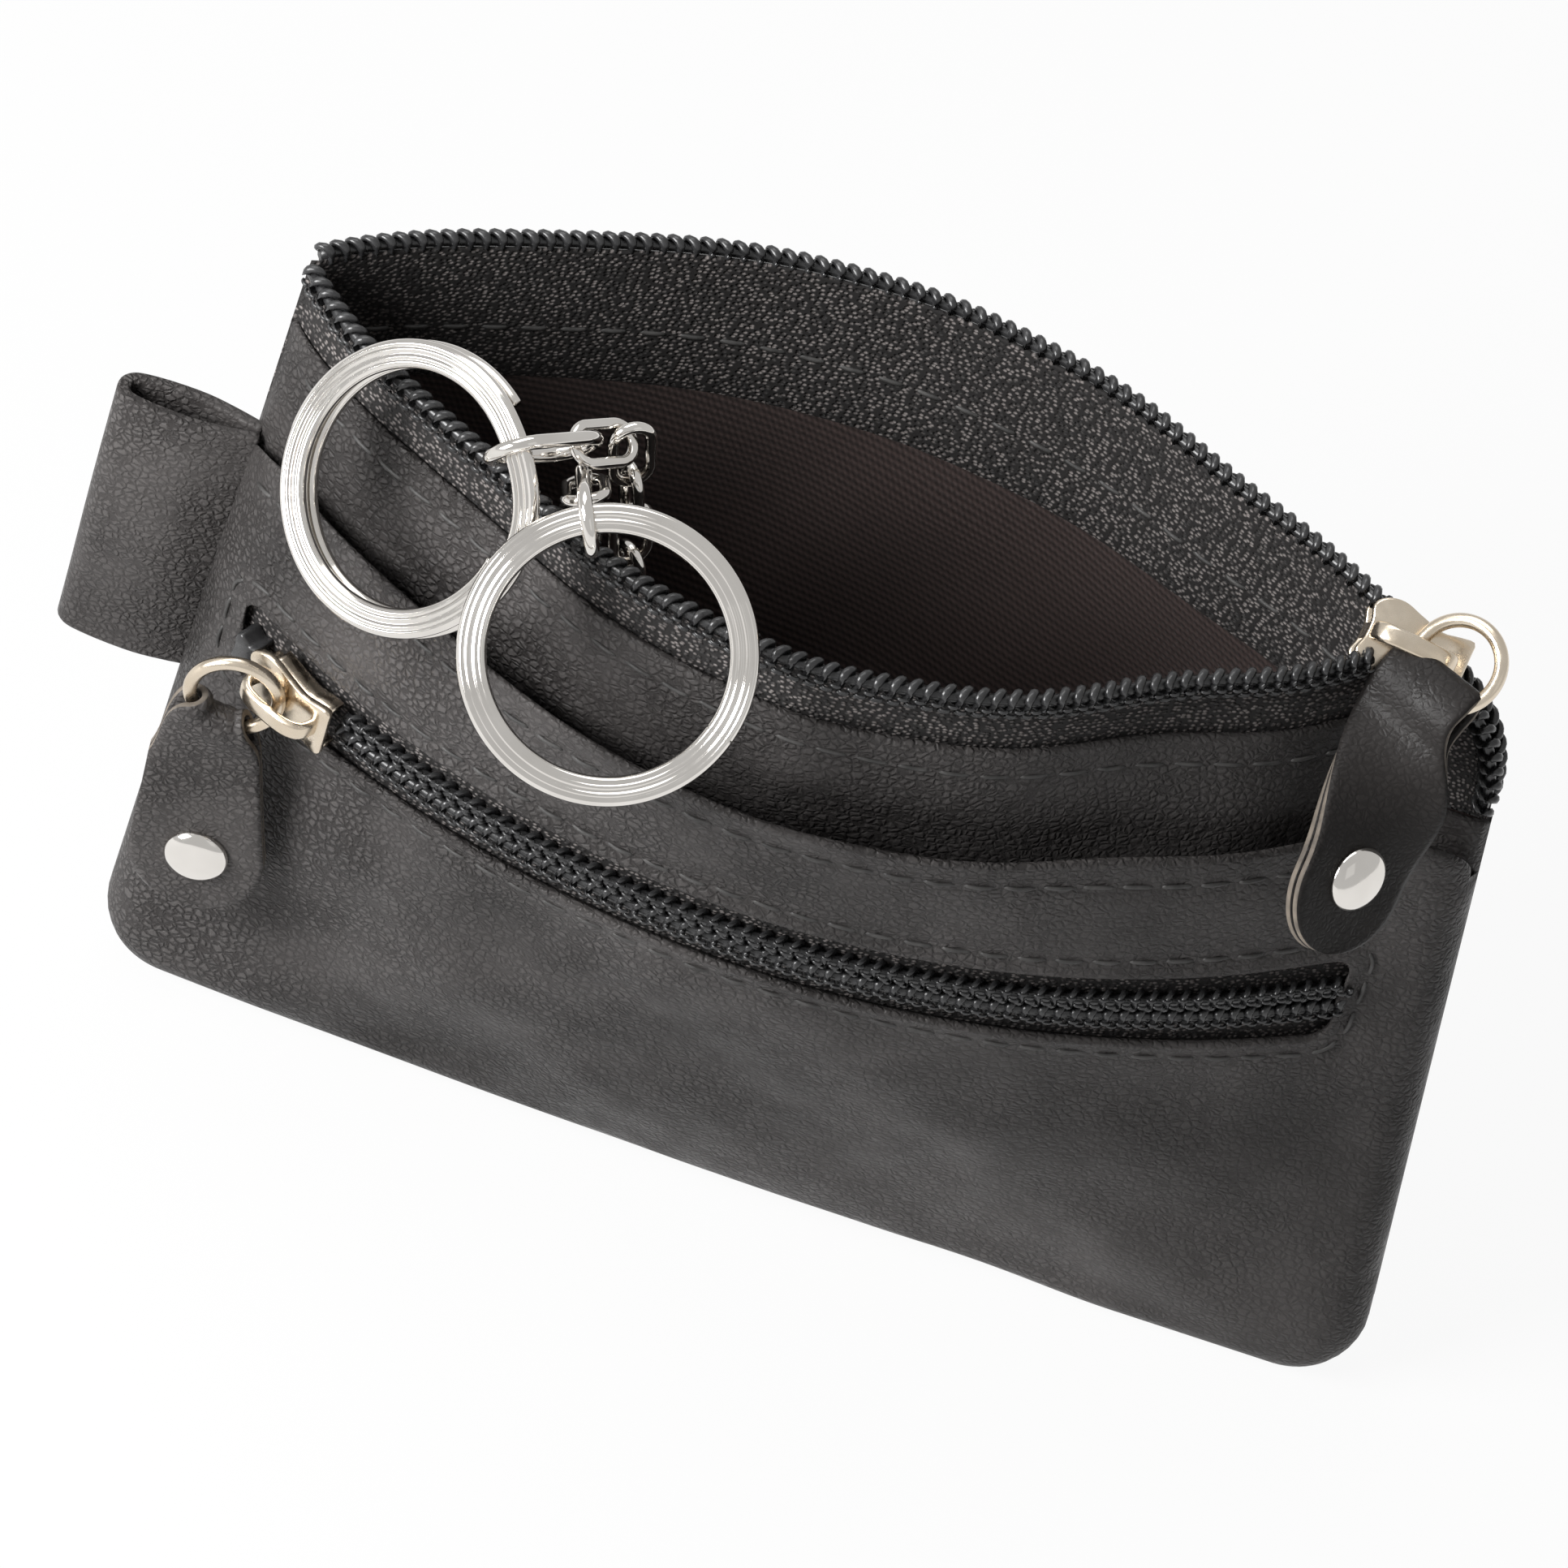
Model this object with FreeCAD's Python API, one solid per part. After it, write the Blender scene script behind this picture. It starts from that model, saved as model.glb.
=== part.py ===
import FreeCAD, Part
import math
import os

Vec = FreeCAD.Vector

# The pouch, in millimetres: a flat purse whose two walls bow apart towards an open zip rim
pouch_width = 115.0
rim_height = 75.0
rim_lean = 9.0
base_bow = 0.8
front_bow = 23.6
back_bow = 18.6
belly = 4.3
deepest_x = -6.0
left_pull_in = 1.5
right_pull_in = 9.2
mouth_end_margin = 20.5
seam_flat = 1.5
bottom_corner = 6.5
level_shares = (0.0, 0.15, 0.3, 0.45, 0.6, 0.75, 0.9, 1.0)
belly_share = 4.0

# Sheets that the walls are sewn from, and the air between them
leather = 0.9
lining = 0.3
bag_cloth = 0.2
zip_tape = 0.35
layer_gap = 0.1
slider_room = 1.4
seam_band = 3.0
overrun = 40.0

# Sewn edges, counted down from the zip rim and in from the side seams
leather_below_rim = 6.4
lining_below_rim = 14.1
floor_height = 0.9
pocket_below_rim = 15.4
pocket_gape = 1.2
window_below_pocket = 12.4
window_height = 8.6
window_left_margin = 5.0
window_right_margin = 13.8
window_corner = 1.5
bag_bottom = 6.0
bag_below_pocket = 6.0
tape_tuck = 3.5

# Zips: nylon coils on woven tape
coil_width = 1.9
coil_height = 2.2
coil_thickness = 1.7
coil_over_share = 0.25
coil_gap = 0.05
zip_corner = 13.0
leather_corner = 6.6
leather_step_below_rim = 15.0

# Zip slider, shared by both zips: length along the zip, width across it
slider_length = 8.0
slider_width = 6.4
slider_plate = 0.7
slider_nose_share = 0.6
slider_top = 1.05
slider_bottom = 1.85
flange_width = 0.8
flange_reach = 0.55
post_length = 1.7
post_width = 1.8
bridge_length = 6.4
bridge_width = 1.4
bridge_hole_length = 3.2
bridge_hole_height = 1.5
bridge_bar = 0.8
running_gap = 0.25
front_slider_lead = 6.5
main_slider_turn_deg = 8.0
main_slider_roll_deg = 40.0

# Pulls: a wire ring, and a leather tab folded over it and riveted
pull_ring_radius = 3.7
pull_wire_radius = 0.6
tab_eye_radius = 1.65
tab_leather = 0.75
tab_length = 22.0
tab_top_width = 1.8
tab_width = 11.0
tab_shoulder_share = 0.62
rivet_drop_share = 0.7
rivet_head_radius = 2.8
rivet_head_height = 1.1
rivet_post_radius = 1.2
rivet_clearance = 0.1
main_ring_rise_deg = 152.0
front_ring_rise_deg = 34.0
main_tab_round_deg = 264.0
main_tab_lead = Vec(0.0, -0.719, -0.695)
front_tab_round_deg = 270.0
front_stop_length = 1.4
front_stop_width = 3.2
front_stop_below = 1.7
front_stop_above = 0.6
front_stop_lead = 1.2
stop_gap = 0.05

# Belt loop folded into the left seam
loop_bottom = 30.0
loop_height = 28.0
loop_reach = 11.2
loop_half_gap = 3.0
loop_leather = 1.2
loop_tail = 1.2
loop_tail_thickness = 2.6
loop_fold_share = 0.88
loop_belly_share = 0.5
loop_fold_half_gap = 2.0
loop_y = 5.2

# Two split rings, each wound from two turns of flat wire
ring_outer_radius = 12.0
ring_band = 2.4
ring_wire = 1.15
ring_turn_gap = 0.45
ring_jog_deg = 30.0
ring_split_deg = 5.0
ring_hold_gap = 1.9
ring_samples = 24
left_ring_from_seam = 15.7
left_ring_out = 11.0
left_ring_below_rim = 1.4
left_ring_normal = Vec(-0.494, -0.713, 0.497)
left_ring_hold_deg = 15.5
left_link_lead = Vec(0.69, 0.684, -0.233)
right_ring_from_seam = 35.0
right_ring_out = 22.4
right_ring_below_rim = 0.3
right_ring_normal = Vec(-0.008, -0.695, 0.719)
right_ring_hold_deg = 98.5
right_link_lead = Vec(-0.134, 0.857, -0.497)
ring_right = Vec(0.945, 0.229, 0.232)

# Chains that hold the rings, and their strap inside the pouch
terminal_length = 10.8
terminal_width = 6.3
terminal_wire_radius = 0.6
link_length = 7.0
link_width = 4.2
link_wire_radius = 0.5
link_play = 0.5
link_step = 4.5
left_anchor_x = -14.0
right_anchor_x = -23.0
anchor_y = 0.4
anchor_z = 19.6
strap_margin = 3.5
strap_thickness = 0.8
strap_top_margin = 2.7
strap_foot_y = 0.1
eyelet_radius = 1.9

# Places that follow from the sizes above
half_width = pouch_width / 2
mouth_end_x = half_width - mouth_end_margin
leather_top = rim_height - leather_below_rim
lining_top = rim_height - lining_below_rim
leather_step = rim_height - leather_step_below_rim
corner_z = rim_height - zip_corner
pocket_edge = rim_height - pocket_below_rim
window_top = pocket_edge - window_below_pocket
window_bottom = window_top - window_height
window_left = window_left_margin - half_width
window_right = half_width - window_right_margin
bag_top = pocket_edge - bag_below_pocket
front_slider_x = window_left + front_slider_lead
left_ring_x = left_ring_from_seam - half_width
left_ring_centre = Vec(left_ring_x, -left_ring_out, rim_height - left_ring_below_rim)
right_ring_x = right_ring_from_seam - half_width
right_ring_centre = Vec(right_ring_x, -right_ring_out, rim_height - right_ring_below_rim)
left_anchor = Vec(left_anchor_x, anchor_y, anchor_z)
right_anchor = Vec(right_anchor_x, anchor_y, anchor_z)

# Offsets of each sheet from the plane where the two walls meet, worked outwards
lining_in = layer_gap
lining_out = lining_in + lining
panel_in = lining_out + layer_gap
panel_out = panel_in + leather
bag_in = panel_out + layer_gap
bag_out = bag_in + bag_cloth
tape_in = bag_out + slider_room
tape_out = tape_in + zip_tape
outer_in = tape_out + layer_gap
outer_out = outer_in + leather
coil_in = tape_out + coil_gap
coil_out = coil_in + coil_thickness
front_zip_z = (window_bottom + window_top) / 2
corner_x = mouth_end_x + layer_gap
coil_top = rim_height + coil_height * coil_over_share
coil_bottom = coil_top - coil_height

FRONT = -1
BACK = 1


def box(x0, x1, y0, y1, z0, z1):
    return Part.makeBox(x1 - x0, y1 - y0, z1 - z0, Vec(x0, y0, z0))


def wall_points(side, z, offset, gape=0.0):
    """Seam, deepest point, end of the bow and right seam of one wall at one height."""
    up = z / rim_height
    lean = rim_lean * up
    full = front_bow if side == FRONT else back_bow
    bow = base_bow + (full - base_bow) * up + belly_share * belly * up * (1 - up)
    half = pouch_width / 2
    mouth = half - seam_flat + (mouth_end_x - half + seam_flat) * up
    edge = lean + side * offset
    return (Vec(-half + left_pull_in * up, edge, z),
            Vec(deepest_x * up, edge + side * (bow + gape), z),
            Vec(mouth, edge, z),
            Vec(half - right_pull_in * up, edge, z))


def wall_wire(side, z, inner, outer, gape):
    a, b, c, d = wall_points(side, z, outer, gape)
    e, f, g, h = wall_points(side, z, inner, gape)
    edges = [Part.Arc(a, b, c).toShape(), Part.makeLine(c, d), Part.makeLine(d, h),
             Part.makeLine(h, g), Part.Arc(g, f, e).toShape(), Part.makeLine(e, a)]
    return Part.Wire(edges)


def wall(side, inner, outer, z0, z1, gape=0.0, gape_from=0.0):
    """A sheet of one wall between two heights and two offsets; gape opens its top edge."""
    wires = []
    for share in level_shares:
        z = z0 + (z1 - z0) * share
        rise = max(0.0, (z - gape_from) / (z1 - gape_from))
        wires.append(wall_wire(side, z, inner, outer, gape * rise ** 2))
    return Part.makeLoft(wires, True, False)


def round_bottom(shape):
    """Rounds the two bottom corners of a sheet."""
    half = pouch_width / 2
    for sign in (-1, 1):
        centre = sign * (half - bottom_corner)
        corner = box(min(centre, sign * overrun * 2), max(centre, sign * overrun * 2),
                     -overrun, overrun, -overrun, bottom_corner)
        start = Vec(centre, -overrun, bottom_corner)
        disc = Part.makeCylinder(bottom_corner, overrun * 2, start, Vec(0, 1, 0))
        shape = shape.cut(corner.cut(disc))
    return shape


def corner_disc(radius):
    return Part.makeCylinder(radius, overrun * 2, Vec(corner_x, -overrun, corner_z), Vec(0, 1, 0))


def trim_corner(shape, radius, step):
    """Rounds a sheet back above a height, where the zip runs down over the right corner."""
    away = box(corner_x, overrun * 2, -overrun, overrun, step, overrun * 3)
    keep = box(corner_x, corner_x + radius, -overrun, overrun, step, corner_z)
    return shape.cut(away.cut(corner_disc(radius)).cut(keep))


def inside_seams(band):
    """Prism of the front's outline, smaller by a band along the bottom and side seams."""
    half = pouch_width / 2
    top = rim_height
    points = [Vec(band - half, -overrun, band), Vec(half - band, -overrun, band),
              Vec(half - band - right_pull_in, -overrun, top),
              Vec(band - half + left_pull_in, -overrun, top)]
    return Part.Face(Part.makePolygon(points + points[:1])).extrude(Vec(0, overrun * 2, 0))


def window(inset):
    """Prism of the rounded window in the front, smaller all round by the inset."""
    x0, x1 = window_left + inset, window_right - inset
    z0, z1 = window_bottom + inset, window_top - inset
    prism = box(x0, x1, -overrun, overrun, z0, z1)
    edges = [e for e in prism.Edges if abs(e.tangentAt(e.FirstParameter).y) > 1 - 1e-6]
    return prism.makeFillet(window_corner, edges)


def back_panel():
    panel = round_bottom(wall(BACK, panel_in, panel_out, 0.0, leather_top))
    panel = trim_corner(panel, leather_corner, leather_step)
    front = wall_points(FRONT, 0.0, lining_out)
    back = wall_points(BACK, 0.0, (panel_in + panel_out) / 2)
    edges = [Part.Arc(front[0], front[1], front[2]).toShape(), Part.makeLine(front[2], back[2]),
             Part.Arc(back[2], back[1], back[0]).toShape(), Part.makeLine(back[0], front[0])]
    floor = Part.Face(Part.Wire(edges)).extrude(Vec(0, 0, floor_height))
    return panel.fuse(round_bottom(floor)).removeSplitter()


def front_outer_panel():
    """The front with its zip window, and its edges turned under along the seams."""
    panel = wall(FRONT, outer_in, outer_out, 0.0, pocket_edge, pocket_gape, window_top)
    middle = (outer_in + outer_out) / 2
    turned = wall(FRONT, panel_out + layer_gap, middle, 0.0, pocket_edge, pocket_gape, window_top)
    turned = turned.cut(inside_seams(seam_band))
    return round_bottom(panel.cut(window(0.0)).fuse(turned)).removeSplitter()


def main_tape(side):
    tape = wall(side, lining_in, lining_in + zip_tape, lining_top + layer_gap, coil_bottom - coil_gap)
    tape = trim_corner(tape, zip_corner - coil_height - coil_gap, lining_top)
    return tape.cut(main_slider_room())


def main_slider_room():
    reach = slider_length / 2 + running_gap
    low = slider_bottom + slider_plate + running_gap
    return placed(box(-reach, reach, -overrun, overrun, -low, overrun), main_frame())


def main_coil(side):
    """The coil along the open rim, and the closed run that turns down over the corner."""
    rim = wall(side, coil_gap, coil_gap + coil_width, coil_bottom, coil_top)
    rim = rim.common(box(-pouch_width, corner_x, -overrun, overrun, 0.0, overrun * 3))
    flat = wall(side, coil_gap, coil_gap + coil_width, lining_top + layer_gap, coil_top)
    flat = flat.common(box(corner_x, overrun * 2, -overrun, overrun, 0.0, overrun * 3))
    band = corner_disc(zip_corner).cut(corner_disc(zip_corner - coil_height))
    room = main_slider_room()
    return Part.makeCompound([rim.cut(room), flat.common(band).cut(room)])


def front_arc():
    """Centre and radius of the bow that the front zip runs along."""
    seam, deepest, mouth = wall_points(FRONT, front_zip_z, 0.0)[:3]
    circle = Part.Arc(seam, deepest, mouth).toShape().Curve
    return circle.Center, circle.Radius


def main_frame():
    """Slider frame of the main zip, a little way down the corner: X along the zip, Z up and to the front."""
    turn = math.radians(main_slider_turn_deg)
    reach = zip_corner - coil_height / 2
    height = corner_z + reach * math.cos(turn)
    spot = Vec(corner_x + reach * math.sin(turn), rim_lean * height / rim_height, height)
    roll = FreeCAD.Rotation(Vec(1, 0, 0), main_slider_roll_deg)
    return FreeCAD.Placement(spot, FreeCAD.Rotation(Vec(0, 1, 0), main_slider_turn_deg).multiply(roll))


def front_frame():
    """Slider frame of the front zip: X along the bow, Z out of the wall."""
    centre, radius = front_arc()
    run = radius + (coil_in + coil_out) / 2
    turn = math.asin((front_slider_x - centre.x) / run)
    out = Vec(math.sin(turn), -math.cos(turn), 0)
    along = Vec(math.cos(turn), math.sin(turn), 0)
    return FreeCAD.Placement(centre + out * run, FreeCAD.Rotation(along, out.cross(along), out, "XZY"))


def slider():
    """Two plates joined by a post, with side flanges and a bridge for the pull."""
    half, side = slider_length / 2, slider_width / 2
    nose = side * slider_nose_share
    outline = [Vec(-half, -side, 0), Vec(0, -side, 0), Vec(half, -nose, 0), Vec(half, nose, 0),
               Vec(0, side, 0), Vec(-half, side, 0), Vec(-half, -side, 0)]
    plate = Part.Face(Part.makePolygon(outline)).extrude(Vec(0, 0, slider_plate))
    top = plate.translated(Vec(0, 0, slider_top))
    bottom = plate.translated(Vec(0, 0, -slider_bottom - slider_plate))
    post = box(-half, -half + post_length, -post_width / 2, post_width / 2, -slider_bottom, slider_top)
    flanges = Part.Face(Part.makePolygon(outline)).extrude(Vec(0, 0, slider_top + flange_reach))
    flanges = flanges.translated(Vec(0, 0, -flange_reach))
    channel = box(-overrun, overrun, -side + flange_width, side - flange_width, -overrun, overrun)
    crown = slider_top + slider_plate
    bar_top = crown + bridge_hole_height + bridge_bar
    bridge = box(-bridge_length / 2, bridge_length / 2, -bridge_width / 2, bridge_width / 2, crown, bar_top)
    hole = box(-bridge_hole_length / 2, bridge_hole_length / 2, -bridge_width, bridge_width,
               crown, crown + bridge_hole_height)
    return top.multiFuse([bottom, post, flanges.cut(channel), bridge.cut(hole)]).removeSplitter()


def ring_axes(rise_deg):
    """Lean of a pull ring from its bridge hole, and the hole's height over the slider."""
    rise = math.radians(rise_deg)
    lead = Vec(-math.cos(rise), 0, math.sin(rise))
    return lead, Vec(0, 0, slider_top + slider_plate + bridge_hole_height / 2)


def pull_ring(rise_deg):
    lead, hole = ring_axes(rise_deg)
    centre = hole + lead * pull_ring_radius
    return Part.makeTorus(pull_ring_radius, pull_wire_radius, centre, lead.cross(Vec(0, 1, 0)))


def tab_frame(rise_deg, round_deg, down):
    """Frame of a tab on its ring: X across the tab, Y through it, Z up to the fold."""
    lead, hole = ring_axes(rise_deg)
    turn = math.radians(round_deg)
    side = Vec(0, pull_ring_radius * math.sin(turn), 0)
    spot = hole + lead * pull_ring_radius * (1 + math.cos(turn)) + side
    across = lead * -math.sin(turn) + Vec(0, math.cos(turn), 0)
    up = down * -1
    across = (across - up * across.dot(up)).normalize()
    return FreeCAD.Placement(spot, FreeCAD.Rotation(across, up.cross(across), up, "ZXY"))


def tab_outline():
    """Prism of a tab's outline: a narrow neck at the fold, wide and round at the free end."""
    top = tab_eye_radius + tab_leather
    narrow, wide = tab_top_width / 2, tab_width / 2
    shoulder = -tab_length * tab_shoulder_share
    points = [Vec(wide, 0, shoulder), Vec(narrow, 0, -tab_eye_radius), Vec(narrow, 0, top),
              Vec(-narrow, 0, top), Vec(-narrow, 0, -tab_eye_radius), Vec(-wide, 0, shoulder)]
    end = Part.Arc(points[-1], Vec(0, 0, -tab_length), points[0]).toShape()
    wire = Part.Wire(Part.makePolygon(points).Edges + [end])
    return Part.Face(wire).extrude(Vec(0, overrun, 0)).translated(Vec(0, -overrun / 2, 0))


def pull_tab(frame):
    """Leather folded double over the ring in a loose eye, with a hole for its rivet."""
    start, across = Vec(-tab_width / 2, 0, 0), Vec(1, 0, 0)
    fold = Part.makeCylinder(tab_eye_radius + tab_leather, tab_width, start, across)
    body = box(-tab_width, tab_width, -tab_leather, tab_leather, -overrun, 0.0)
    eye = Part.makeCylinder(tab_eye_radius, tab_width, start, across)
    low = rivet_spot() - Vec(0, overrun / 2, 0)
    hole = Part.makeCylinder(rivet_post_radius + rivet_clearance, overrun, low, Vec(0, 1, 0))
    tab = fold.fuse(body).common(tab_outline()).cut(eye).cut(hole)
    return placed(tab.removeSplitter(), frame)


def rivet_spot():
    return Vec(0, 0, -tab_length * rivet_drop_share)


def rivet():
    """A post through the tab with a domed head on each face."""
    ball = (rivet_head_radius ** 2 + rivet_head_height ** 2) / (2 * rivet_head_height)
    foot = rivet_spot() - Vec(0, tab_leather, 0)
    post = Part.makeCylinder(rivet_post_radius, 2 * tab_leather, foot, Vec(0, 1, 0))
    solids = []
    for side in (-1, 1):
        face = rivet_spot() + Vec(0, side * tab_leather, 0)
        dome = Part.makeSphere(ball, face + Vec(0, side * (rivet_head_height - ball), 0))
        shell = Part.makeCylinder(rivet_head_radius, rivet_head_height, face, Vec(0, side, 0))
        solids.append(dome.common(shell))
    return post.multiFuse(solids).removeSplitter()


def placed(shape, frame):
    moved = shape.copy()
    moved.Placement = frame.multiply(moved.Placement)
    return moved


def main_pull_tab_frame():
    down = main_frame().Rotation.inverted().multVec(main_tab_lead)
    return tab_frame(main_ring_rise_deg, main_tab_round_deg, down)


def front_pull_tab_frame():
    return tab_frame(front_ring_rise_deg, front_tab_round_deg, Vec(0, -1, 0))


def front_stop_box(room):
    x1 = -slider_length / 2 - front_stop_lead + room
    x0 = x1 - front_stop_length - 2 * room
    half = front_stop_width / 2 + room
    return box(x0, x1, -half, half, -front_stop_below - room, front_stop_above + room)


def front_tape(z0, z1):
    """One tape of the front zip, notched for the slider's post and the stop."""
    tape = wall(FRONT, tape_in, tape_out, z0, z1).common(inside_seams(seam_band + layer_gap))
    half = slider_length / 2 + running_gap
    reach = post_width / 2 + running_gap
    notch = box(-half, -half + post_length + 2 * running_gap, -reach, reach, -overrun, overrun)
    return tape.cut(placed(notch.fuse(front_stop_box(stop_gap)), front_frame()))


def front_coil(z0, z1):
    coil = wall(FRONT, coil_in, coil_out, z0, z1)
    start = slider_length / 2 + running_gap
    beyond = box(start, pouch_width, -overrun, overrun, -overrun, overrun)
    return coil.common(placed(beyond, front_frame())).common(window(coil_gap))


def belt_loop():
    """A strap folded double, its two ends sewn together into the left seam."""
    x0 = -pouch_width / 2 + left_pull_in * loop_bottom / rim_height - layer_gap
    bulge, fold = x0 - loop_reach * loop_belly_share, x0 - loop_reach * loop_fold_share
    tip = x0 - loop_reach

    def outline(start, start_half, add, tip_x):
        near, far = [], []
        for side, points in ((-1, near), (1, far)):
            points.append(Vec(start, loop_y + side * start_half, loop_bottom))
            points.append(Vec(bulge, loop_y + side * (loop_half_gap + add), loop_bottom))
            points.append(Vec(fold, loop_y + side * (loop_fold_half_gap + add), loop_bottom))
        nose = Vec(tip_x, loop_y, loop_bottom)
        edges = [Part.Arc(*near).toShape(), Part.Arc(near[2], nose, far[2]).toShape(),
                 Part.Arc(far[2], far[1], far[0]).toShape()]
        if start_half > 0:
            edges.append(Part.makeLine(far[0], near[0]))
        return Part.Face(Part.Wire(edges)).extrude(Vec(0, 0, loop_height))

    outside = outline(x0, loop_tail_thickness / 2, loop_leather, tip)
    return outside.cut(outline(x0 - loop_tail, 0.0, 0.0, tip + loop_leather))


def ring_path():
    """Centre line of a split ring: a turn, a short jog across, and a second turn."""
    radius = ring_outer_radius - ring_band / 2
    rise = (ring_wire + ring_turn_gap) / 2
    jog, split = math.radians(ring_jog_deg), math.radians(ring_split_deg)

    def spot(angle, z):
        return Vec(radius * math.cos(angle), radius * math.sin(angle), z)

    lap = 2 * math.pi
    turns = [(jog + split, lap - jog, -rise), (lap + jog, 2 * lap - jog - split, rise)]
    edges = []
    for start, end, z in turns:
        middle = (start + end) / 2
        for a, b in ((start, middle), (middle, end)):
            edges.append(Part.Arc(spot(a, z), spot((a + b) / 2, z), spot(b, z)).toShape())
    ease = rise * math.sin(math.pi / 4)
    up = Part.Arc(spot(lap - jog, -rise), spot(lap - jog / 2, -ease), spot(lap, 0.0)).toShape()
    over = Part.Arc(spot(lap, 0.0), spot(lap + jog / 2, ease), spot(lap + jog, rise)).toShape()
    return edges[:2] + [up, over] + edges[2:], spot(jog + split, -rise), jog + split


def split_ring(centre, normal):
    """Two turns of flat wire with rounded edges, swept along one unbroken path."""
    edges, start, angle = ring_path()
    out = Vec(math.cos(angle), math.sin(angle), 0) * (ring_band - ring_wire) / 2
    up = Vec(0, 0, ring_wire / 2)
    tip = Vec(math.cos(angle), math.sin(angle), 0) * (ring_band / 2)
    a, b, c, d = start - out - up, start + out - up, start + out + up, start - out + up
    section = Part.Wire([Part.makeLine(a, b), Part.Arc(b, start + tip, c).toShape(),
                         Part.makeLine(c, d), Part.Arc(d, start - tip, a).toShape()])
    solid = Part.Wire(edges).makePipeShell([section], True, False)
    frame = FreeCAD.Placement(centre, ring_rotation(normal))
    return placed(solid, frame)


def ring_rotation(normal):
    right = ring_right - normal * ring_right.dot(normal) / normal.dot(normal)
    return FreeCAD.Rotation(right, normal.cross(right), normal, "ZXY")


def print_ring_gap():
    """Least gap between the two turns of a split ring, measured on points of its path."""
    points = []
    for edge in ring_path()[0]:
        points.extend(edge.discretize(ring_samples))
    least = overrun
    for i, p in enumerate(points):
        for q in points[i + 1:]:
            level = math.hypot(p.x - q.x, p.y - q.y)
            if abs(p.z - q.z) > ring_wire / 2 and level < ring_wire:
                least = min(least, abs(p.z - q.z) - ring_wire)
    print("split ring, least gap between its turns:", round(least, 3), "mm")


def oval_link(centre, along, across, length, width, wire_radius):
    """A closed oval of wire about a centre, long one way."""
    across = (across - along * across.dot(along)).normalize()
    bend = width / 2 - wire_radius
    run = length / 2 - width / 2
    a, b = centre - along * run - across * bend, centre + along * run - across * bend
    c, d = centre + along * run + across * bend, centre - along * run + across * bend
    tip, heel = centre + along * (run + bend), centre - along * (run + bend)
    path = Part.Wire([Part.makeLine(a, b), Part.Arc(b, tip, c).toShape(),
                      Part.makeLine(c, d), Part.Arc(d, heel, a).toShape()])
    section = Part.Wire([Part.makeCircle(wire_radius, a, along)])
    return path.makePipeShell([section], True, False)


def hold_point(centre, normal, angle_deg):
    """Where a link holds its ring, and the ring's direction there."""
    turn = math.radians(angle_deg)
    spin = ring_rotation(normal)
    out = spin.multVec(Vec(math.cos(turn), math.sin(turn), 0))
    tangent = spin.multVec(Vec(-math.sin(turn), math.cos(turn), 0))
    return centre + out * (ring_outer_radius - ring_band / 2), tangent


def terminal_axis(centre, normal, angle_deg, lead):
    spot, tangent = hold_point(centre, normal, angle_deg)
    along = (lead - tangent * lead.dot(tangent)).normalize()
    inner = terminal_length / 2 - 2 * terminal_wire_radius
    return spot + along * (inner - ring_hold_gap), along, tangent


def terminal_link(centre, normal, angle_deg, lead):
    middle, along, tangent = terminal_axis(centre, normal, angle_deg, lead)
    flat = tangent.cross(along)
    return oval_link(middle, along, flat, terminal_length, terminal_width, terminal_wire_radius)


def joining_link(centre, normal, angle_deg, lead):
    """Middle of the link that hooks a terminal link to its chain, and the way it points."""
    middle, along, tangent = terminal_axis(centre, normal, angle_deg, lead)
    bend = middle + along * (terminal_length / 2 - terminal_wire_radius)
    reach = link_length / 2 - link_wire_radius
    return bend + along * (reach - terminal_wire_radius - link_wire_radius - link_play), along, tangent


def chain(centre, normal, angle_deg, lead, anchor):
    """A joining link, then oval links that each turn about a quarter, down to the strap."""
    middle, along, tangent = joining_link(centre, normal, angle_deg, lead)
    links = [oval_link(middle, along, tangent, link_length, link_width, link_wire_radius)]
    reach = link_length / 2 - link_wire_radius
    hook = middle + along * reach
    run = (anchor - hook).normalize()
    start = hook - run * (2 * link_wire_radius + link_play)
    spread = (anchor - start).Length - 2 * reach
    count = round(spread / link_step) + 1
    step = spread / (count - 1)
    across = (Vec(0, 1, 0) - run * run.y).normalize()
    side, facing = run.cross(across), run.cross(tangent)
    turn = math.atan2(facing.dot(side), facing.dot(across))
    quarter = math.pi / 2
    turns = round((quarter * (count - 1) - turn) / math.pi)
    twist = (turn + turns * math.pi) / (count - 1)
    for i in range(count):
        spot = anchor - run * (reach + step * i)
        facing = across * math.cos(twist * i) + side * math.sin(twist * i)
        links.append(oval_link(spot, run, facing, link_length, link_width, link_wire_radius))
    return Part.makeCompound(links)


def key_strap():
    """A leather strip rising from the bottom seam, with an eyelet hole for each chain."""
    x0, x1 = right_anchor.x - strap_margin, left_anchor.x + strap_margin
    foot, top = floor_height + layer_gap, left_anchor.z + strap_top_margin
    half = strap_thickness / 2
    shift = (left_anchor.y - strap_foot_y) * (top - foot) / (left_anchor.z - foot)
    points = [Vec(x0, strap_foot_y - half, foot), Vec(x0, strap_foot_y + half, foot),
              Vec(x0, strap_foot_y + shift + half, top), Vec(x0, strap_foot_y + shift - half, top)]
    strap = Part.Face(Part.makePolygon(points + points[:1])).extrude(Vec(x1 - x0, 0, 0))
    for anchor in (left_anchor, right_anchor):
        start = anchor - Vec(0, overrun / 2, 0)
        strap = strap.cut(Part.makeCylinder(eyelet_radius, overrun, start, Vec(0, 1, 0)))
    return strap


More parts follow.
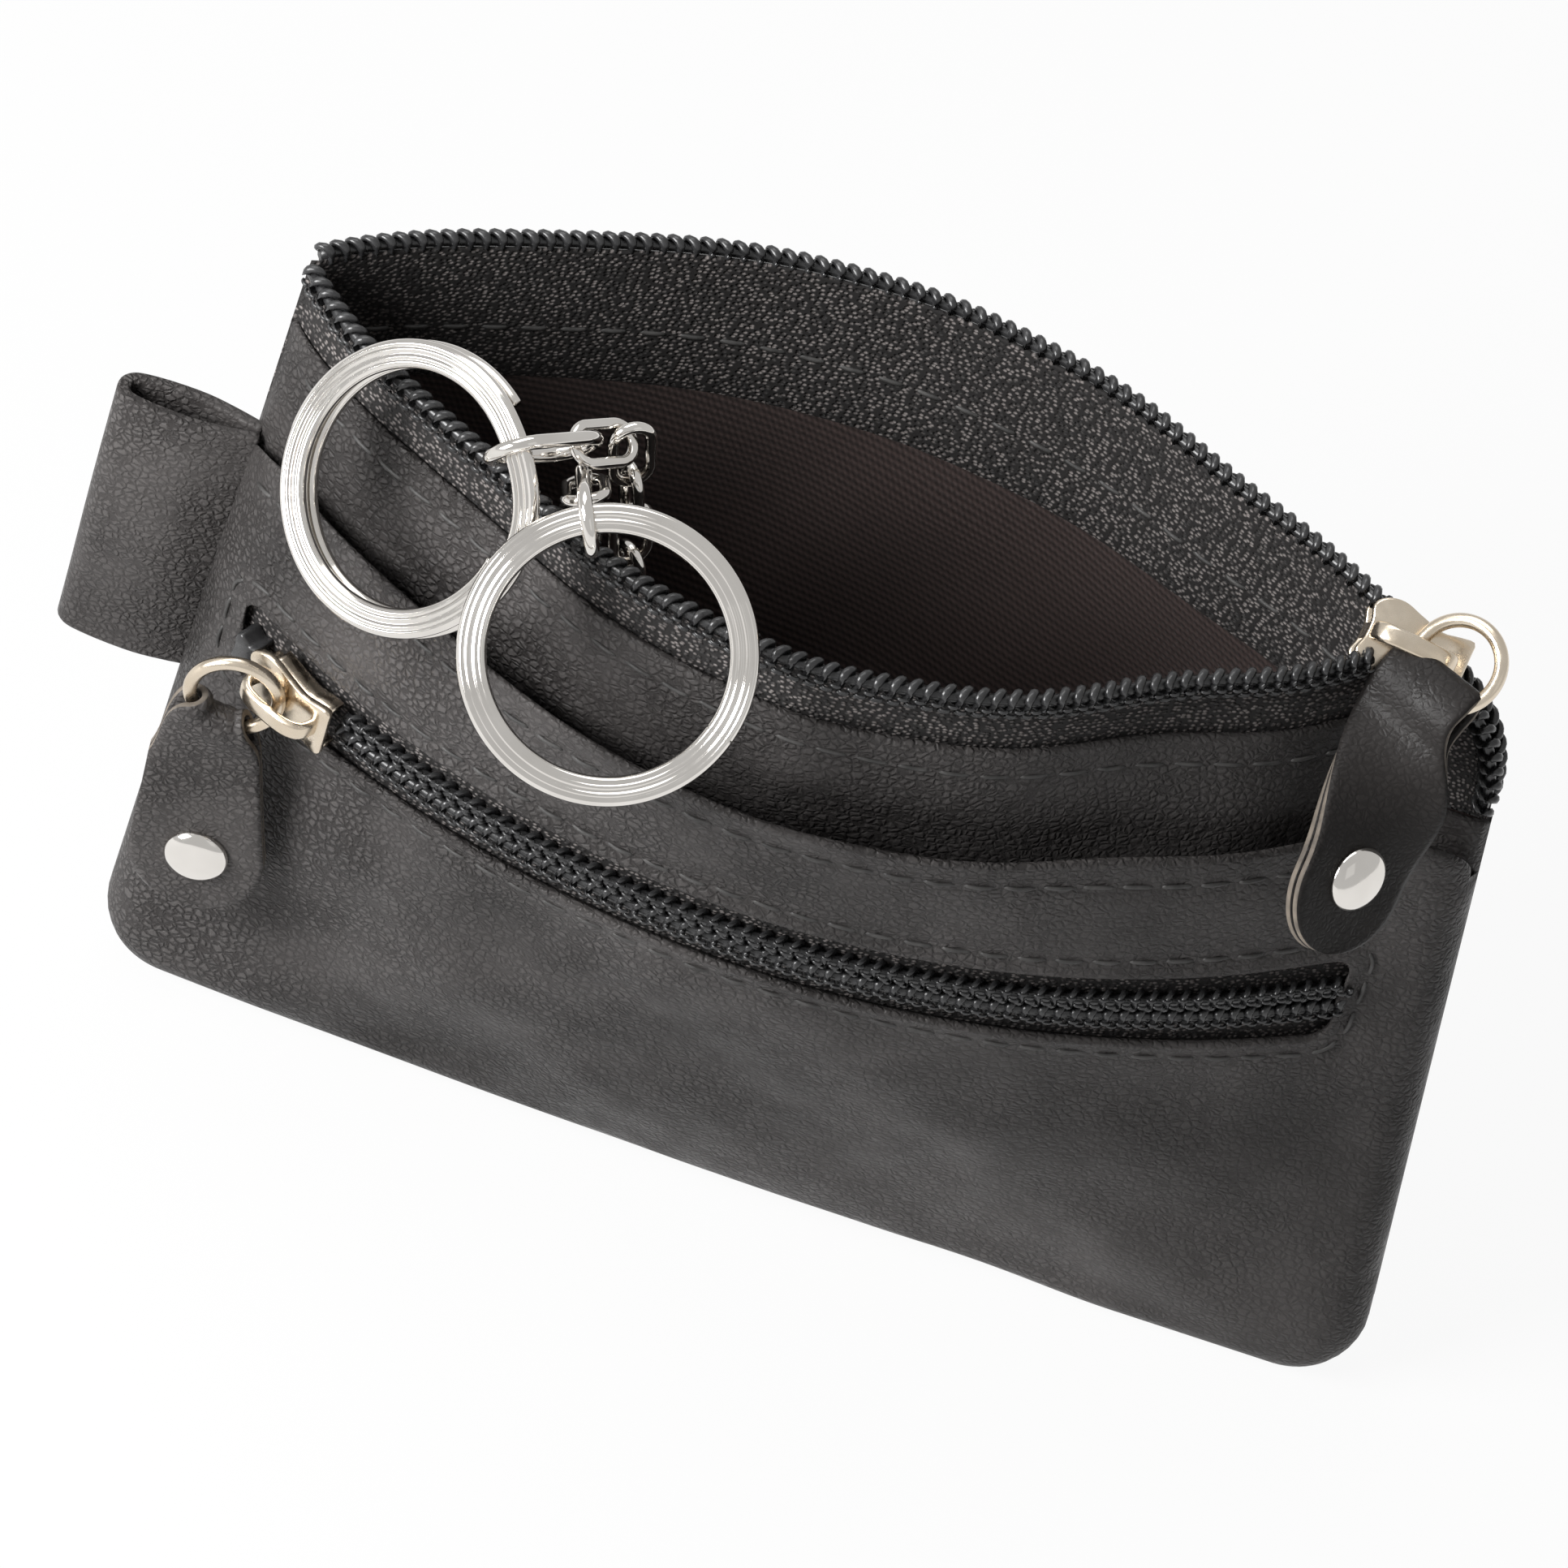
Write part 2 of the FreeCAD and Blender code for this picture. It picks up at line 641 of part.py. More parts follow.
def sub_parts():
    """Every sub-part by name, in place."""
    main, front = main_frame(), front_frame()
    left = (left_ring_centre, left_ring_normal, left_ring_hold_deg, left_link_lead)
    right = (right_ring_centre, right_ring_normal, right_ring_hold_deg, right_link_lead)
    inner_panel = round_bottom(wall(FRONT, panel_in, panel_out, 0.0, leather_top))
    inner_panel = trim_corner(inner_panel, leather_corner, leather_step)
    pocket_bag = wall(FRONT, bag_in, bag_out, bag_bottom, bag_top)
    pocket_bag = pocket_bag.common(inside_seams(seam_band + layer_gap))
    lining_foot = floor_height + layer_gap
    main_tab, front_tab = main_pull_tab_frame(), front_pull_tab_frame()
    return {
        "back_panel": back_panel(),
        "front_inner_panel": inner_panel,
        "front_outer_panel": front_outer_panel(),
        "front_lining": round_bottom(wall(FRONT, lining_in, lining_out, lining_foot, lining_top)),
        "back_lining": round_bottom(wall(BACK, lining_in, lining_out, lining_foot, lining_top)),
        "front_pocket_lining": pocket_bag,
        "main_zip_front_tape": main_tape(FRONT),
        "main_zip_back_tape": main_tape(BACK),
        "main_zip_front_coil": main_coil(FRONT),
        "main_zip_back_coil": main_coil(BACK),
        "front_zip_lower_tape": front_tape(window_bottom - tape_tuck, front_zip_z - layer_gap),
        "front_zip_upper_tape": front_tape(front_zip_z + layer_gap, window_top + tape_tuck),
        "front_zip_lower_coil": front_coil(front_zip_z - coil_gap - coil_width, front_zip_z - coil_gap),
        "front_zip_upper_coil": front_coil(front_zip_z + coil_gap, front_zip_z + coil_gap + coil_width),
        "front_zip_stop": placed(front_stop_box(0.0), front),
        "belt_loop": belt_loop(),
        "key_strap": key_strap(),
        "left_key_chain": chain(*left, left_anchor),
        "right_key_chain": chain(*right, right_anchor),
        "left_terminal_link": terminal_link(*left),
        "right_terminal_link": terminal_link(*right),
        "left_split_ring": split_ring(left_ring_centre, left_ring_normal),
        "right_split_ring": split_ring(right_ring_centre, right_ring_normal),
        "main_slider": placed(slider(), main),
        "main_pull_ring": placed(pull_ring(main_ring_rise_deg), main),
        "main_pull_tab": placed(pull_tab(main_tab), main),
        "main_pull_rivet": placed(placed(rivet(), main_tab), main),
        "front_slider": placed(slider(), front),
        "front_pull_ring": placed(pull_ring(front_ring_rise_deg), front),
        "front_pull_tab": placed(pull_tab(front_tab), front),
        "front_pull_rivet": placed(placed(rivet(), front_tab), front),
    }


def main():
    os.makedirs("parts", exist_ok=True)
    for name, shape in sub_parts().items():
        shape.exportStep("parts/" + name + ".step")
    print_ring_gap()


if __name__ == "__main__":
    main()
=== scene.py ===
from math import asin, atan2, cos, pi, radians, sin, sqrt

import bpy
import numpy as np
from mathutils import Matrix, Vector

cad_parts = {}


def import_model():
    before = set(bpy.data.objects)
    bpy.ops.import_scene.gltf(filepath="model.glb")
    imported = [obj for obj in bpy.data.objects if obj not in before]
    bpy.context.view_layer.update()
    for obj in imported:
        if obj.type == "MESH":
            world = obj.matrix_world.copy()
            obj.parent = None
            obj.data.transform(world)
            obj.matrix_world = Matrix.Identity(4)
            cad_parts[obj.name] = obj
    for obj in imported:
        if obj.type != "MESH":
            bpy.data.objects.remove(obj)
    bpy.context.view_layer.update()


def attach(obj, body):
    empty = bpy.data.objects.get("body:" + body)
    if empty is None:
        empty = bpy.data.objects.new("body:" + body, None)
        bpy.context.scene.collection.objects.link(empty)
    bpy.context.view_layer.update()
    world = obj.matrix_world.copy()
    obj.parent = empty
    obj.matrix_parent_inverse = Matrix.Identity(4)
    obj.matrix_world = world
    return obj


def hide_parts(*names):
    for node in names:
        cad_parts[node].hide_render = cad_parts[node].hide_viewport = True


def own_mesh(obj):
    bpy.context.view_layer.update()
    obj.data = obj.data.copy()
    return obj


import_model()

# The pouch, in millimetres, of which a metre has MM, as in the part's source
MM = 1000
FRONT, BACK = -1, 1
SIDES = ((FRONT, "front"), (BACK, "back"))
UP, TO_BACK = np.array([0.0, 0.0, 1.0]), np.array([0.0, 1.0, 0.0])
HALF, RIM, LEAN = 57.5, 75.0, 9.0
BOW = {FRONT: 23.6, BACK: 18.6}
BASE_BOW, BELLY, DEEPEST = 0.8, 4.3, -6.0
LEFT_IN, RIGHT_IN, MOUTH_END, SEAM_FLAT = 1.5, 9.2, 37.0, 1.5
BOTTOM_CORNER = 6.5
LEATHER_TOP, LINING_TOP, POCKET_EDGE, POCKET_GAPE = 68.6, 60.9, 59.6, 1.2
WINDOW = (-52.5, 43.7, 38.6, 47.2)
WINDOW_CORNER = 1.5
CORNER_X, CORNER_Z, ZIP_CORNER, LEATHER_CORNER = 37.1, 62.0, 13.0, 6.6
ZIP_REACH = ZIP_CORNER - 1.1
COIL_MID = 74.45
ZIP_Z = 42.9
PITCH = 1.38
STITCH_PITCH = 3.4
ROW_BELOW_EDGE, ROW_ROUND_WINDOW = 2.3, 1.5
SLIDER_TURN, SLIDER_ROLL = radians(8.0), radians(40.0)


def blend_step(x, low, high):
    t = np.clip((x - low) / (high - low), 0.0, 1.0)
    return t * t * (3 - 2 * t)


def hump(x, place, width):
    """A smooth rise to one at a place, and down again."""
    return np.exp(-((x - place) / width) ** 2)


def above_zero(value, softness):
    """A value kept above zero, with a soft bend where it would cross."""
    return 0.5 * (value + np.sqrt(value ** 2 + softness ** 2))


def arc(turn):
    """Points of a circle of radius one at the given turns."""
    return np.stack([np.cos(turn), np.sin(turn)], -1)


# Materials

WHITE = (1, 1, 1, 1)
CREASE_SHADE = (0.3, 0.29, 0.29, 1)
MIX_SHARE, MIX_COLOUR, MIX_OTHER, MIX_RESULT = 0, 6, 7, 2


def join(value, socket):
    """Gives a socket a value or a link."""
    if isinstance(value, bpy.types.NodeSocket):
        socket.id_data.links.new(value, socket)
    else:
        socket.default_value = value


def add(tree, kind, inputs=None, **settings):
    """A shader node with values or links at its inputs."""
    made = tree.nodes.new("ShaderNode" + kind)
    for key, value in settings.items():
        setattr(made, key, value)
    for key, value in (inputs or {}).items():
        join(value, made.inputs[key])
    return made


def combine(operation, *values):
    return add(values[0].id_data, "Math", dict(enumerate(values)), operation=operation).outputs[0]


def start_material(name):
    material = bpy.data.materials.new(name)
    material.use_nodes = True
    return material, material.node_tree


def shade(material, **values):
    tree = material.node_tree
    for key, value in values.items():
        join(value, tree.nodes["Principled BSDF"].inputs[key.replace("_", " ")])
    return material


def millimetres(tree, stretch=(1.0, 1.0, 1.0)):
    place = add(tree, "TexCoord").outputs["Object"]
    scaled = add(tree, "Mapping", {"Vector": place, "Scale": [MM * s for s in stretch]})
    return scaled.outputs["Vector"]


def ramp(value, low, high, first, last):
    """Value from low to high as a smooth number, or as a colour, from first to last."""
    tree, inputs = value.id_data, {"Value": value, "From Min": low, "From Max": high}
    if isinstance(first, tuple):
        share = add(tree, "MapRange", inputs).outputs["Result"]
        colours = {MIX_SHARE: share, MIX_COLOUR: (*first, 1), MIX_OTHER: (*last, 1)}
        return add(tree, "Mix", colours, data_type="RGBA").outputs[MIX_RESULT]
    inputs.update({"To Min": first, "To Max": last})
    return add(tree, "MapRange", inputs, interpolation_type="SMOOTHSTEP").outputs["Result"]


def noise(vector, scale, detail=2.0, roughness=0.5, output="Fac"):
    inputs = {"Vector": vector, "Scale": scale, "Detail": detail, "Roughness": roughness}
    return add(vector.id_data, "TexNoise", inputs).outputs[output]


def bump(height, strength, depth, under=None):
    """A normal raised by a height, with its depth in millimetres."""
    inputs = {"Height": height, "Strength": strength, "Distance": depth / MM}
    if under is not None:
        inputs["Normal"] = under
    return add(height.id_data, "Bump", inputs).outputs["Normal"]


def leather_material(name, dark, light, grain_size, depth):
    """Smooth leather with a net of fine creases that shows in patches, most on the left, where painted shade
    darkens the creases most.
    """
    material, tree = start_material(name)
    here = millimetres(tree)
    drawn = millimetres(tree, (0.75, 1.0, 1.0))
    warp = noise(here, 1.1, 3, output="Color")
    warped = {0: warp, 1: (0.6, 0.6, 0.6), 2: drawn}
    moved = add(tree, "VectorMath", warped, operation="MULTIPLY_ADD")
    cells = add(tree, "TexVoronoi", {"Vector": moved.outputs[0], "Scale": 1 / grain_size},
                feature="DISTANCE_TO_EDGE")
    creases = ramp(cells.outputs["Distance"], 0.0, 0.3, 0.0, 1.0)
    middle = noise(here, 0.28, 3)
    along = add(tree, "SeparateXYZ", {0: here}).outputs["X"]
    patches = ramp(noise(here, 0.11, 2), 0.3, 0.65, 0.5, 1.0)
    # Painted shade in the creases: strongest at the left, less to the right, in random patches; the same
    # share sets how deep the creases' bump is.
    crease_depth_and_shade = combine("MULTIPLY", ramp(along, -45.0, 35.0, 1.0, 0.6), patches)
    share = combine("MULTIPLY", ramp(creases, 0.0, 1.0, 0.8, 0.0), crease_depth_and_shade)
    colour = ramp(noise(here, 0.05, 3), 0.35, 0.65, dark, light)
    shaded = {MIX_SHARE: share, MIX_COLOUR: colour, MIX_OTHER: CREASE_SHADE}
    shaded = add(tree, "Mix", shaded, data_type="RGBA", blend_type="MULTIPLY")
    soft = bump(middle, 0.6, depth * 3.0)
    pores = bump(noise(drawn, 2.2, 4, 0.62), 0.5, depth, soft)
    return shade(material, Base_Color=shaded.outputs[MIX_RESULT],
                 Roughness=ramp(middle, 0.3, 0.7, 0.32, 0.46),
                 Normal=bump(creases, crease_depth_and_shade, depth, pores), Specular_IOR_Level=0.14)


def tape_material(name, dark, light, loop_length, loop_height):
    """Knitted zip tape: short light loops of yarn on a dark ground."""
    material, tree = start_material(name)
    knit = add(tree, "Mapping", {
        "Vector": add(tree, "UVMap").outputs["UV"],
        "Scale": (1 / loop_length, 1 / loop_height, 1.0), "Rotation": (0.0, 0.0, 0.12)})
    loops = {"Vector": knit.outputs["Vector"], "Scale": 1.0, "Randomness": 0.75}
    loops = add(tree, "TexVoronoi", loops, voronoi_dimensions="2D")
    yarn = ramp(loops.outputs["Distance"], 0.12, 0.5, 1.0, 0.0)
    patchy = noise(millimetres(tree), 1.1, 3)
    share = combine("MULTIPLY", yarn, ramp(patchy, 0.35, 0.62, 0.15, 1.0))
    return shade(material, Base_Color=ramp(share, 0.1, 0.9, dark, light),
                 Roughness=ramp(patchy, 0.3, 0.7, 0.6, 0.8), Normal=bump(yarn, 0.9, 0.16),
                 Specular_IOR_Level=0.15, Sheen_Weight=0.05, Sheen_Roughness=0.4)


def woven_material(name, dark, light, along, across, slant, depth):
    """Cloth ribs in millimetres of the piece's own length and height."""
    material, tree = start_material(name)
    parts = add(tree, "SeparateXYZ", {0: add(tree, "UVMap").outputs["UV"]}).outputs

    def wave(period, lean, phase, first, second):
        lifted = combine("MULTIPLY_ADD", parts[first], lean, parts[second])
        return combine("SINE", combine("MULTIPLY_ADD", lifted, 2 * pi / period, phase))

    ribs, cross = wave(along, slant, 0.0, "X", "Y"), wave(across, 0.6, 1.0, "Y", "X")
    here = millimetres(tree)
    broad = noise(here, 0.09, 3)
    joined = combine("MULTIPLY_ADD", cross, 0.5, ribs)
    mixed = combine("MULTIPLY_ADD", noise(here, 2.4, 4, 0.65), 2.2, joined)
    lumps = bump(broad, 0.3, depth * 4)
    return shade(material, Base_Color=ramp(mixed, -0.4, 2.6, dark, light),
                 Roughness=ramp(broad, 0.3, 0.7, 0.72, 0.88), Normal=bump(mixed, 0.7, depth, lumps),
                 Specular_IOR_Level=0.3, Sheen_Weight=0.15, Sheen_Roughness=0.4)


def plain_material(name, dark, light, rough_low, rough_high, grain, depth, **values):
    """An even stuff with a fine grain: metal, nylon, thread or raw leather."""
    material, tree = start_material(name)
    here = millimetres(tree)
    fine = noise(here, grain, 3)
    broad = noise(here, grain * 0.2, 2)
    return shade(material, Base_Color=ramp(broad, 0.3, 0.7, dark, light),
                 Roughness=ramp(fine, 0.35, 0.65, rough_low, rough_high),
                 Normal=bump(fine, 0.3, depth), **values)


LEATHER = leather_material("leather_black", (0.05, 0.0466, 0.0453), (0.092, 0.0857, 0.0836), 0.62, 0.15)
TAB_LEATHER = leather_material("leather_tab", (0.07, 0.0651, 0.0633), (0.108, 0.1005, 0.0977), 0.55, 0.1)
# A darker copy of the tab leather for the main pull's tab: it paints the shade that this tab lies in.
SHADED_TAB_LEATHER = leather_material("leather_tab_painted_shade", (0.025, 0.0227, 0.0218), (0.04, 0.0364, 0.035), 0.55,
                                0.06)
CUT_EDGE = plain_material("leather_cut_edge", (0.105, 0.09, 0.075), (0.22, 0.185, 0.15), 0.7, 0.9, 3.0, 0.08)
LINING = woven_material("lining_twill", (0.016, 0.0108, 0.0099), (0.058, 0.0395, 0.0362), 0.6, 0.55, 0.16,
                        0.05)
TAPE = tape_material("zip_tape_knit", (0.026, 0.0245, 0.0242), (0.25, 0.226, 0.217), 0.62, 0.4)
COIL = plain_material("zip_coil_nylon", (0.022, 0.022, 0.023), (0.038, 0.038, 0.039), 0.24, 0.34, 2.5, 0.02,
                      Specular_IOR_Level=0.6)
THREAD = plain_material("thread_black", (0.027, 0.0261, 0.0252), (0.07, 0.0675, 0.0653), 0.5, 0.65, 4.0, 0.05)
NICKEL = plain_material("nickel_plate", (0.72, 0.69, 0.65), (0.8, 0.77, 0.73), 0.08, 0.13, 1.2, 0.004,
                        Metallic=1.0)
WARM_NICKEL = plain_material("nickel_warm", (0.68, 0.58, 0.45), (0.77, 0.68, 0.56), 0.2, 0.3, 1.2, 0.012,
                             Metallic=1.0)


# Meshes

def place_object(name, data):
    made = bpy.data.objects.new(name, data)
    bpy.context.scene.collection.objects.link(made)
    return made


def grid_faces(rows, columns, closed_rows, start):
    """Quads of a grid whose columns close, with caps at its ends if its rows don't."""
    index = start + np.arange(rows * columns).reshape(rows, columns)
    here = index if closed_rows else index[:-1]
    after = np.roll(index, -1, 0)[:len(here)]
    quads = np.stack([here, after, np.roll(after, -1, 1), np.roll(here, -1, 1)], -1).reshape(-1, 4)
    caps = [] if closed_rows else [index[0].tolist(), index[-1, ::-1].tolist()]
    return quads.tolist() + caps


def merge(name, grids, material, closed_rows=False, uv=None):
    """A smooth object from grids in millimetres; uv is for a single open grid."""
    points, faces, start = [], [], 0
    for grid in grids:
        rows, columns = grid.shape[:2]
        faces += grid_faces(rows, columns, closed_rows, start)
        points.append(grid.reshape(-1, 3))
        start += rows * columns
    mesh = bpy.data.meshes.new(name)
    mesh.from_pydata((np.concatenate(points) / MM).tolist(), [], faces)
    if uv is not None:
        quads = uv.reshape(-1, 2)[np.array(faces[:-2]).ravel()]
        caps = np.zeros((2 * columns, 2))
        mesh.uv_layers.new(name="UVMap").data.foreach_set("uv", np.vstack([quads, caps]).ravel())
    mesh.polygons.foreach_set("use_smooth", [True] * len(mesh.polygons))
    mesh.materials.append(material)
    mesh.update()
    return place_object(name, mesh)


def unit(v):
    return v / np.maximum(np.linalg.norm(v, axis=-1, keepdims=True), 1e-9)


def carry(path, section, first, second):
    """Points of a section of pairs, laid along two axes at each point of a path."""
    return path[:, None] + first[:, None] * section[:, :1] + second[:, None] * section[:, 1:]


def tube_grid(path, section, closed=False, side=UP):
    """Points of a section carried along a path without needless twist."""
    if closed:
        tangent = unit(np.roll(path, -1, 0) - np.roll(path, 1, 0))
    else:
        tangent = unit(np.gradient(path, axis=0))
    normal = np.zeros_like(path)
    carried = np.asarray(side, float)
    if abs(carried @ tangent[0]) > 0.95:
        carried = TO_BACK
    for i, t in enumerate(tangent):
        carried = unit(carried - t * (carried @ t))
        normal[i] = carried
    if closed:
        t = tangent[0]
        last = unit(normal[-1] - t * (normal[-1] @ t))
        twist = atan2(np.cross(last, normal[0]) @ t, last @ normal[0])
        a = (twist * np.arange(len(path)) / len(path))[:, None]
        normal = normal * np.cos(a) + np.cross(tangent, normal) * np.sin(a)
    return carry(path, section, normal, np.cross(tangent, normal))


def circle_section(radius, count=8):
    return radius * arc(2 * pi * np.arange(count) / count)


def oval_section(width, height, count=6):
    """Flat wire with half-round edges, wide along the first axis."""
    turn = np.linspace(-pi / 2, pi / 2, count)
    right = np.array([width / 2 - height / 2, 0.0]) + height / 2 * arc(turn)
    return np.vstack([right, -right])


def lengths(line):
    """Distance of each point from the first, along the line."""
    return np.hstack([[0.0], np.cumsum(np.linalg.norm(np.diff(line, axis=0), axis=1))])


def points_at(at, run, line):
    """Points of a line at some distances along its run."""
    return np.stack([np.interp(at, run, values) for values in line.T], -1)


def resample(path, count):
    """Points at even distances along a path."""
    run = lengths(path)
    return points_at(np.linspace(0.0, run[-1], count), run, path)


def smooth_path(points, count):
    """A Catmull-Rom line through the points."""
    points = np.asarray(points, float)
    padded = np.vstack([2 * points[:1] - points[1:2], points, 2 * points[-1:] - points[-2:-1]])
    t = np.linspace(0, 1, 24, endpoint=False)[:, None]
    out = []
    for p0, p1, p2, p3 in zip(padded, padded[1:], padded[2:], padded[3:]):
        out.append(0.5 * (2 * p1 + (p2 - p0) * t + (2 * p0 - 5 * p1 + 4 * p2 - p3) * t ** 2
                          + (3 * p1 - p0 - 3 * p2 + p3) * t ** 3))
    return resample(np.concatenate(out + [points[-1:]]), count)


def finish_piece(piece, body, slot, *nodes):
    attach(piece, body)
    if nodes:
        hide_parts(*nodes)


def loose(piece, slot, node):
    """Finishes a piece whose body has the name of its node."""
    finish_piece(piece, node, slot, node)


def sew(piece, slot, *nodes):
    """Finishes a piece of the soft pouch: it rides the pouch's body, with a mesh of its own."""
    finish_piece(piece, "pouch", slot, *nodes)
    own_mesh(piece)


# The two bowed walls

RIM_SAG = {FRONT: 1.0, BACK: 0.55}
SAG_HEIGHTS = (48.0, 70.0)
RIM_LOBES = ((2.9, -38.0, 13.5), (2.6, 21.5, 8.5), (-0.5, -6.0, 6.0))
MOUTH_SOFTNESS, SOFT_PLACES = 2.4, (18.0, 36.0)
GROOVE_DEPTH, GROOVE_WAVE, GROOVE_WIDTH = 0.13, 0.05, 0.75
SHEET_COLUMNS, SHEET_TRIM_HEIGHT, LEAST_SHEET = 170, 66.0, 0.25
POCKET_DROP, POCKET_ROLL = 4.6, 5.0
PANEL_COUNTS = (190, 46, 190, 46)
PANEL_SEAM, PANEL_FACE, PANEL_INNER, PANEL_ROLL, PANEL_LEAST = 0.95, 4.45, 3.55, 3.6, 0.6
LEATHER_FACES, LINING_FACES, TAPE_FACES = (0.5, 1.4), (0.1, 0.4), (0.0, 0.45)
POCKET_FACES, FRONT_TAPE_FACES = (1.5, 1.7), (3.1, 3.45)
LINING_TRIM, TAPE_TRIM, POCKET_TRIM = (0.6, 0.6), (0.0, 0.3), (3.2, 3.2)
LINING_LOW, POCKET_LOW, POCKET_TOP = 1.0, 6.0, 53.6
TAPE_LOW, TAPE_TOP = LINING_TOP - 0.6, 74.2
LEATHER_ROUND, TAPE_ROUND = (LEATHER_CORNER, 60.0), (ZIP_CORNER - 1.35, LINING_TOP + 0.4)
WALL_SHAPES = {FRONT: (11, 7, 0.7), BACK: (-23, 15, 1.0)}
FRONT_TAPES = (("lower", 35.1, ZIP_Z - 0.1), ("upper", ZIP_Z + 0.1, 50.7))


def seams(z):
    up = z / RIM
    return -HALF + LEFT_IN * up, HALF - RIGHT_IN * up


def rim_lobes(x):
    """Where the soft rim hangs less far out than an even bow."""
    return sum(height * hump(x, place, width) for height, place, width in RIM_LOBES)


def bow_circle(side, z, gape=0.0):
    """Circle that a wall follows at a height: its left end, middle, depth and radius."""
    up = z / RIM
    height = BASE_BOW + (BOW[side] - BASE_BOW) * up + 4 * BELLY * up * (1 - up) + gape
    left = -HALF + LEFT_IN * up
    right = HALF - SEAM_FLAT + (MOUTH_END - HALF + SEAM_FLAT) * up
    centre, half = (left + right) / 2, (right - left) / 2
    deep = ((DEEPEST * up - centre) ** 2 + height ** 2 - half ** 2) / (2 * height)
    return left, centre, deep, np.sqrt(half ** 2 + deep ** 2)


def bow_out(side, x, z, gape=0.0):
    """How far a wall stands out of the plane where the two walls meet."""
    left, centre, deep, radius = bow_circle(side, z, gape)
    out = deep + np.sqrt(np.maximum(radius ** 2 - (x - centre) ** 2, 0.0))
    out = out - RIM_SAG[side] * blend_step(z, *SAG_HEIGHTS) * rim_lobes(x)
    return np.where(x > left, above_zero(out, MOUTH_SOFTNESS * blend_step(x, *SOFT_PLACES)), 0.0)


def surface(side, x, z, offset, gape=0.0):
    x, z, offset = np.broadcast_arrays(x, z, offset)
    y = LEAN * z / RIM + side * (bow_out(side, x, z, gape) + offset)
    return np.stack([x, y, z], -1)


def outward(side, x, z):
    """Unit normal of a wall, pointing out of the pouch."""
    step = 0.05
    across = surface(side, x + step, z, 0.0) - surface(side, x - step, z, 0.0)
    up = surface(side, x, z + step, 0.0) - surface(side, x, z - step, 0.0)
    return side * unit(np.cross(up, across))


def corner_centres():
    """Where the arcs of the two bottom corners have their centres."""
    left, right = seams(BOTTOM_CORNER)
    return left + BOTTOM_CORNER, right - BOTTOM_CORNER


def edge_distance(x, z):
    left, right = seams(z)
    e = np.minimum(np.minimum(x - left, right - x), z)
    first, last = corner_centres()
    beyond = np.maximum(first - x, x - last)
    rounded = BOTTOM_CORNER - np.hypot(np.maximum(beyond, 0.0), z - BOTTOM_CORNER)
    return np.maximum(np.where((beyond > 0) & (z < BOTTOM_CORNER), rounded, e), 0.0)


def roll(e, width):
    """Quarter-round rise from zero at an edge to one."""
    return np.sqrt(1 - (1 - np.clip(e / width, 0, 1)) ** 2)


def folds(x, z):
    """Soft unevenness of worn leather."""
    low = 0.5 * np.sin(0.115 * x + 0.21 * z + 0.4) * hump(z, 18, 17)
    slant = 0.45 * np.sin(0.26 * x - 0.30 * z + 1.1) * hump(x, -36, 22)
    right = 0.4 * np.sin(0.10 * x + 0.42 * z + 0.3) * hump(x, 40, 14)
    return low + slant + right + 0.09 * np.sin(0.52 * x + 0.33 * z + 2.0) * np.sin(0.2 * z - 0.13 * x)


def groove(distance, along):
    """Dip that a row of stitches pulls into the leather."""
    depth = GROOVE_DEPTH + GROOVE_WAVE * np.cos(2 * pi * along / STITCH_PITCH)
    return -depth * hump(distance, 0.0, GROOVE_WIDTH)


def corner_top(x, top, radius, low):
    """Height of a sheet's top edge where it rounds down at the right corner."""
    bend = CORNER_Z + np.sqrt(np.maximum(radius ** 2 - (x - CORNER_X) ** 2, 0.0))
    bend = np.minimum(bend, top)
    return np.where(x < CORNER_X, top, np.where(x < CORNER_X + radius, bend, low))


def bottom_low(x):
    over = np.clip(np.abs(x) - (HALF - BOTTOM_CORNER), 0.0, BOTTOM_CORNER)
    return BOTTOM_CORNER - np.sqrt(BOTTOM_CORNER ** 2 - over ** 2)


def sheet(name, side, faces, low, top, material, base=None, roll_width=None, trim=(0.0, 0.0), shape=None,
          corner=None, bottom_round=True, rows=54):
    """A closed sheet of one wall between its two faces; corner rounds its top at the right."""
    inner, outer = faces
    thick = (outer - inner) / 2
    a = np.linspace(0.0, 1.0, SHEET_COLUMNS)[:, None]

    def across(left, right):
        return left + trim[0] + a * (right - left - trim[0] - trim[1])

    def at(w):
        """Places at shares of the height, and how far out both faces are there."""
        z = low_z + (top_z - low_z) * w
        x = across(*seams(z))
        moved = shape(side, x, z) if shape else np.zeros_like(x)
        out = outer if base is None else base + (outer - base) * roll(edge_distance(x, z), roll_width)
        return x, z, out + moved, np.minimum(inner + moved, out + moved - min(LEAST_SHEET, thick))

    top_z, low_z = np.full_like(a, top), np.full_like(a, low)
    if corner:
        top_z = corner_top(across(*seams(SHEET_TRIM_HEIGHT)), top, *corner)
    if bottom_round:
        low_z = np.maximum(low, bottom_low(across(-HALF, HALF)))
    share = np.linspace(0.0, 1.0, rows)
    turn = np.linspace(0.0, pi, 7)[1:-1]
    out_x, out_z, out_d, _ = at(share)
    fold_x, fold_z, fold_d, _ = at(np.ones(len(turn)))
    in_x, in_z, _, in_d = at(share[::-2])
    x = np.hstack([out_x, fold_x, in_x])
    z = np.hstack([out_z, fold_z + thick * np.sin(turn), in_z])
    d = np.hstack([out_d, fold_d - thick + thick * np.cos(turn), in_d])
    points = surface(side, x, z, d)
    run = lengths(points[:, rows // 2])
    uv = np.stack([np.repeat(run[:, None], x.shape[1], 1), z], -1)
    return merge(name, [points], material, uv=uv)


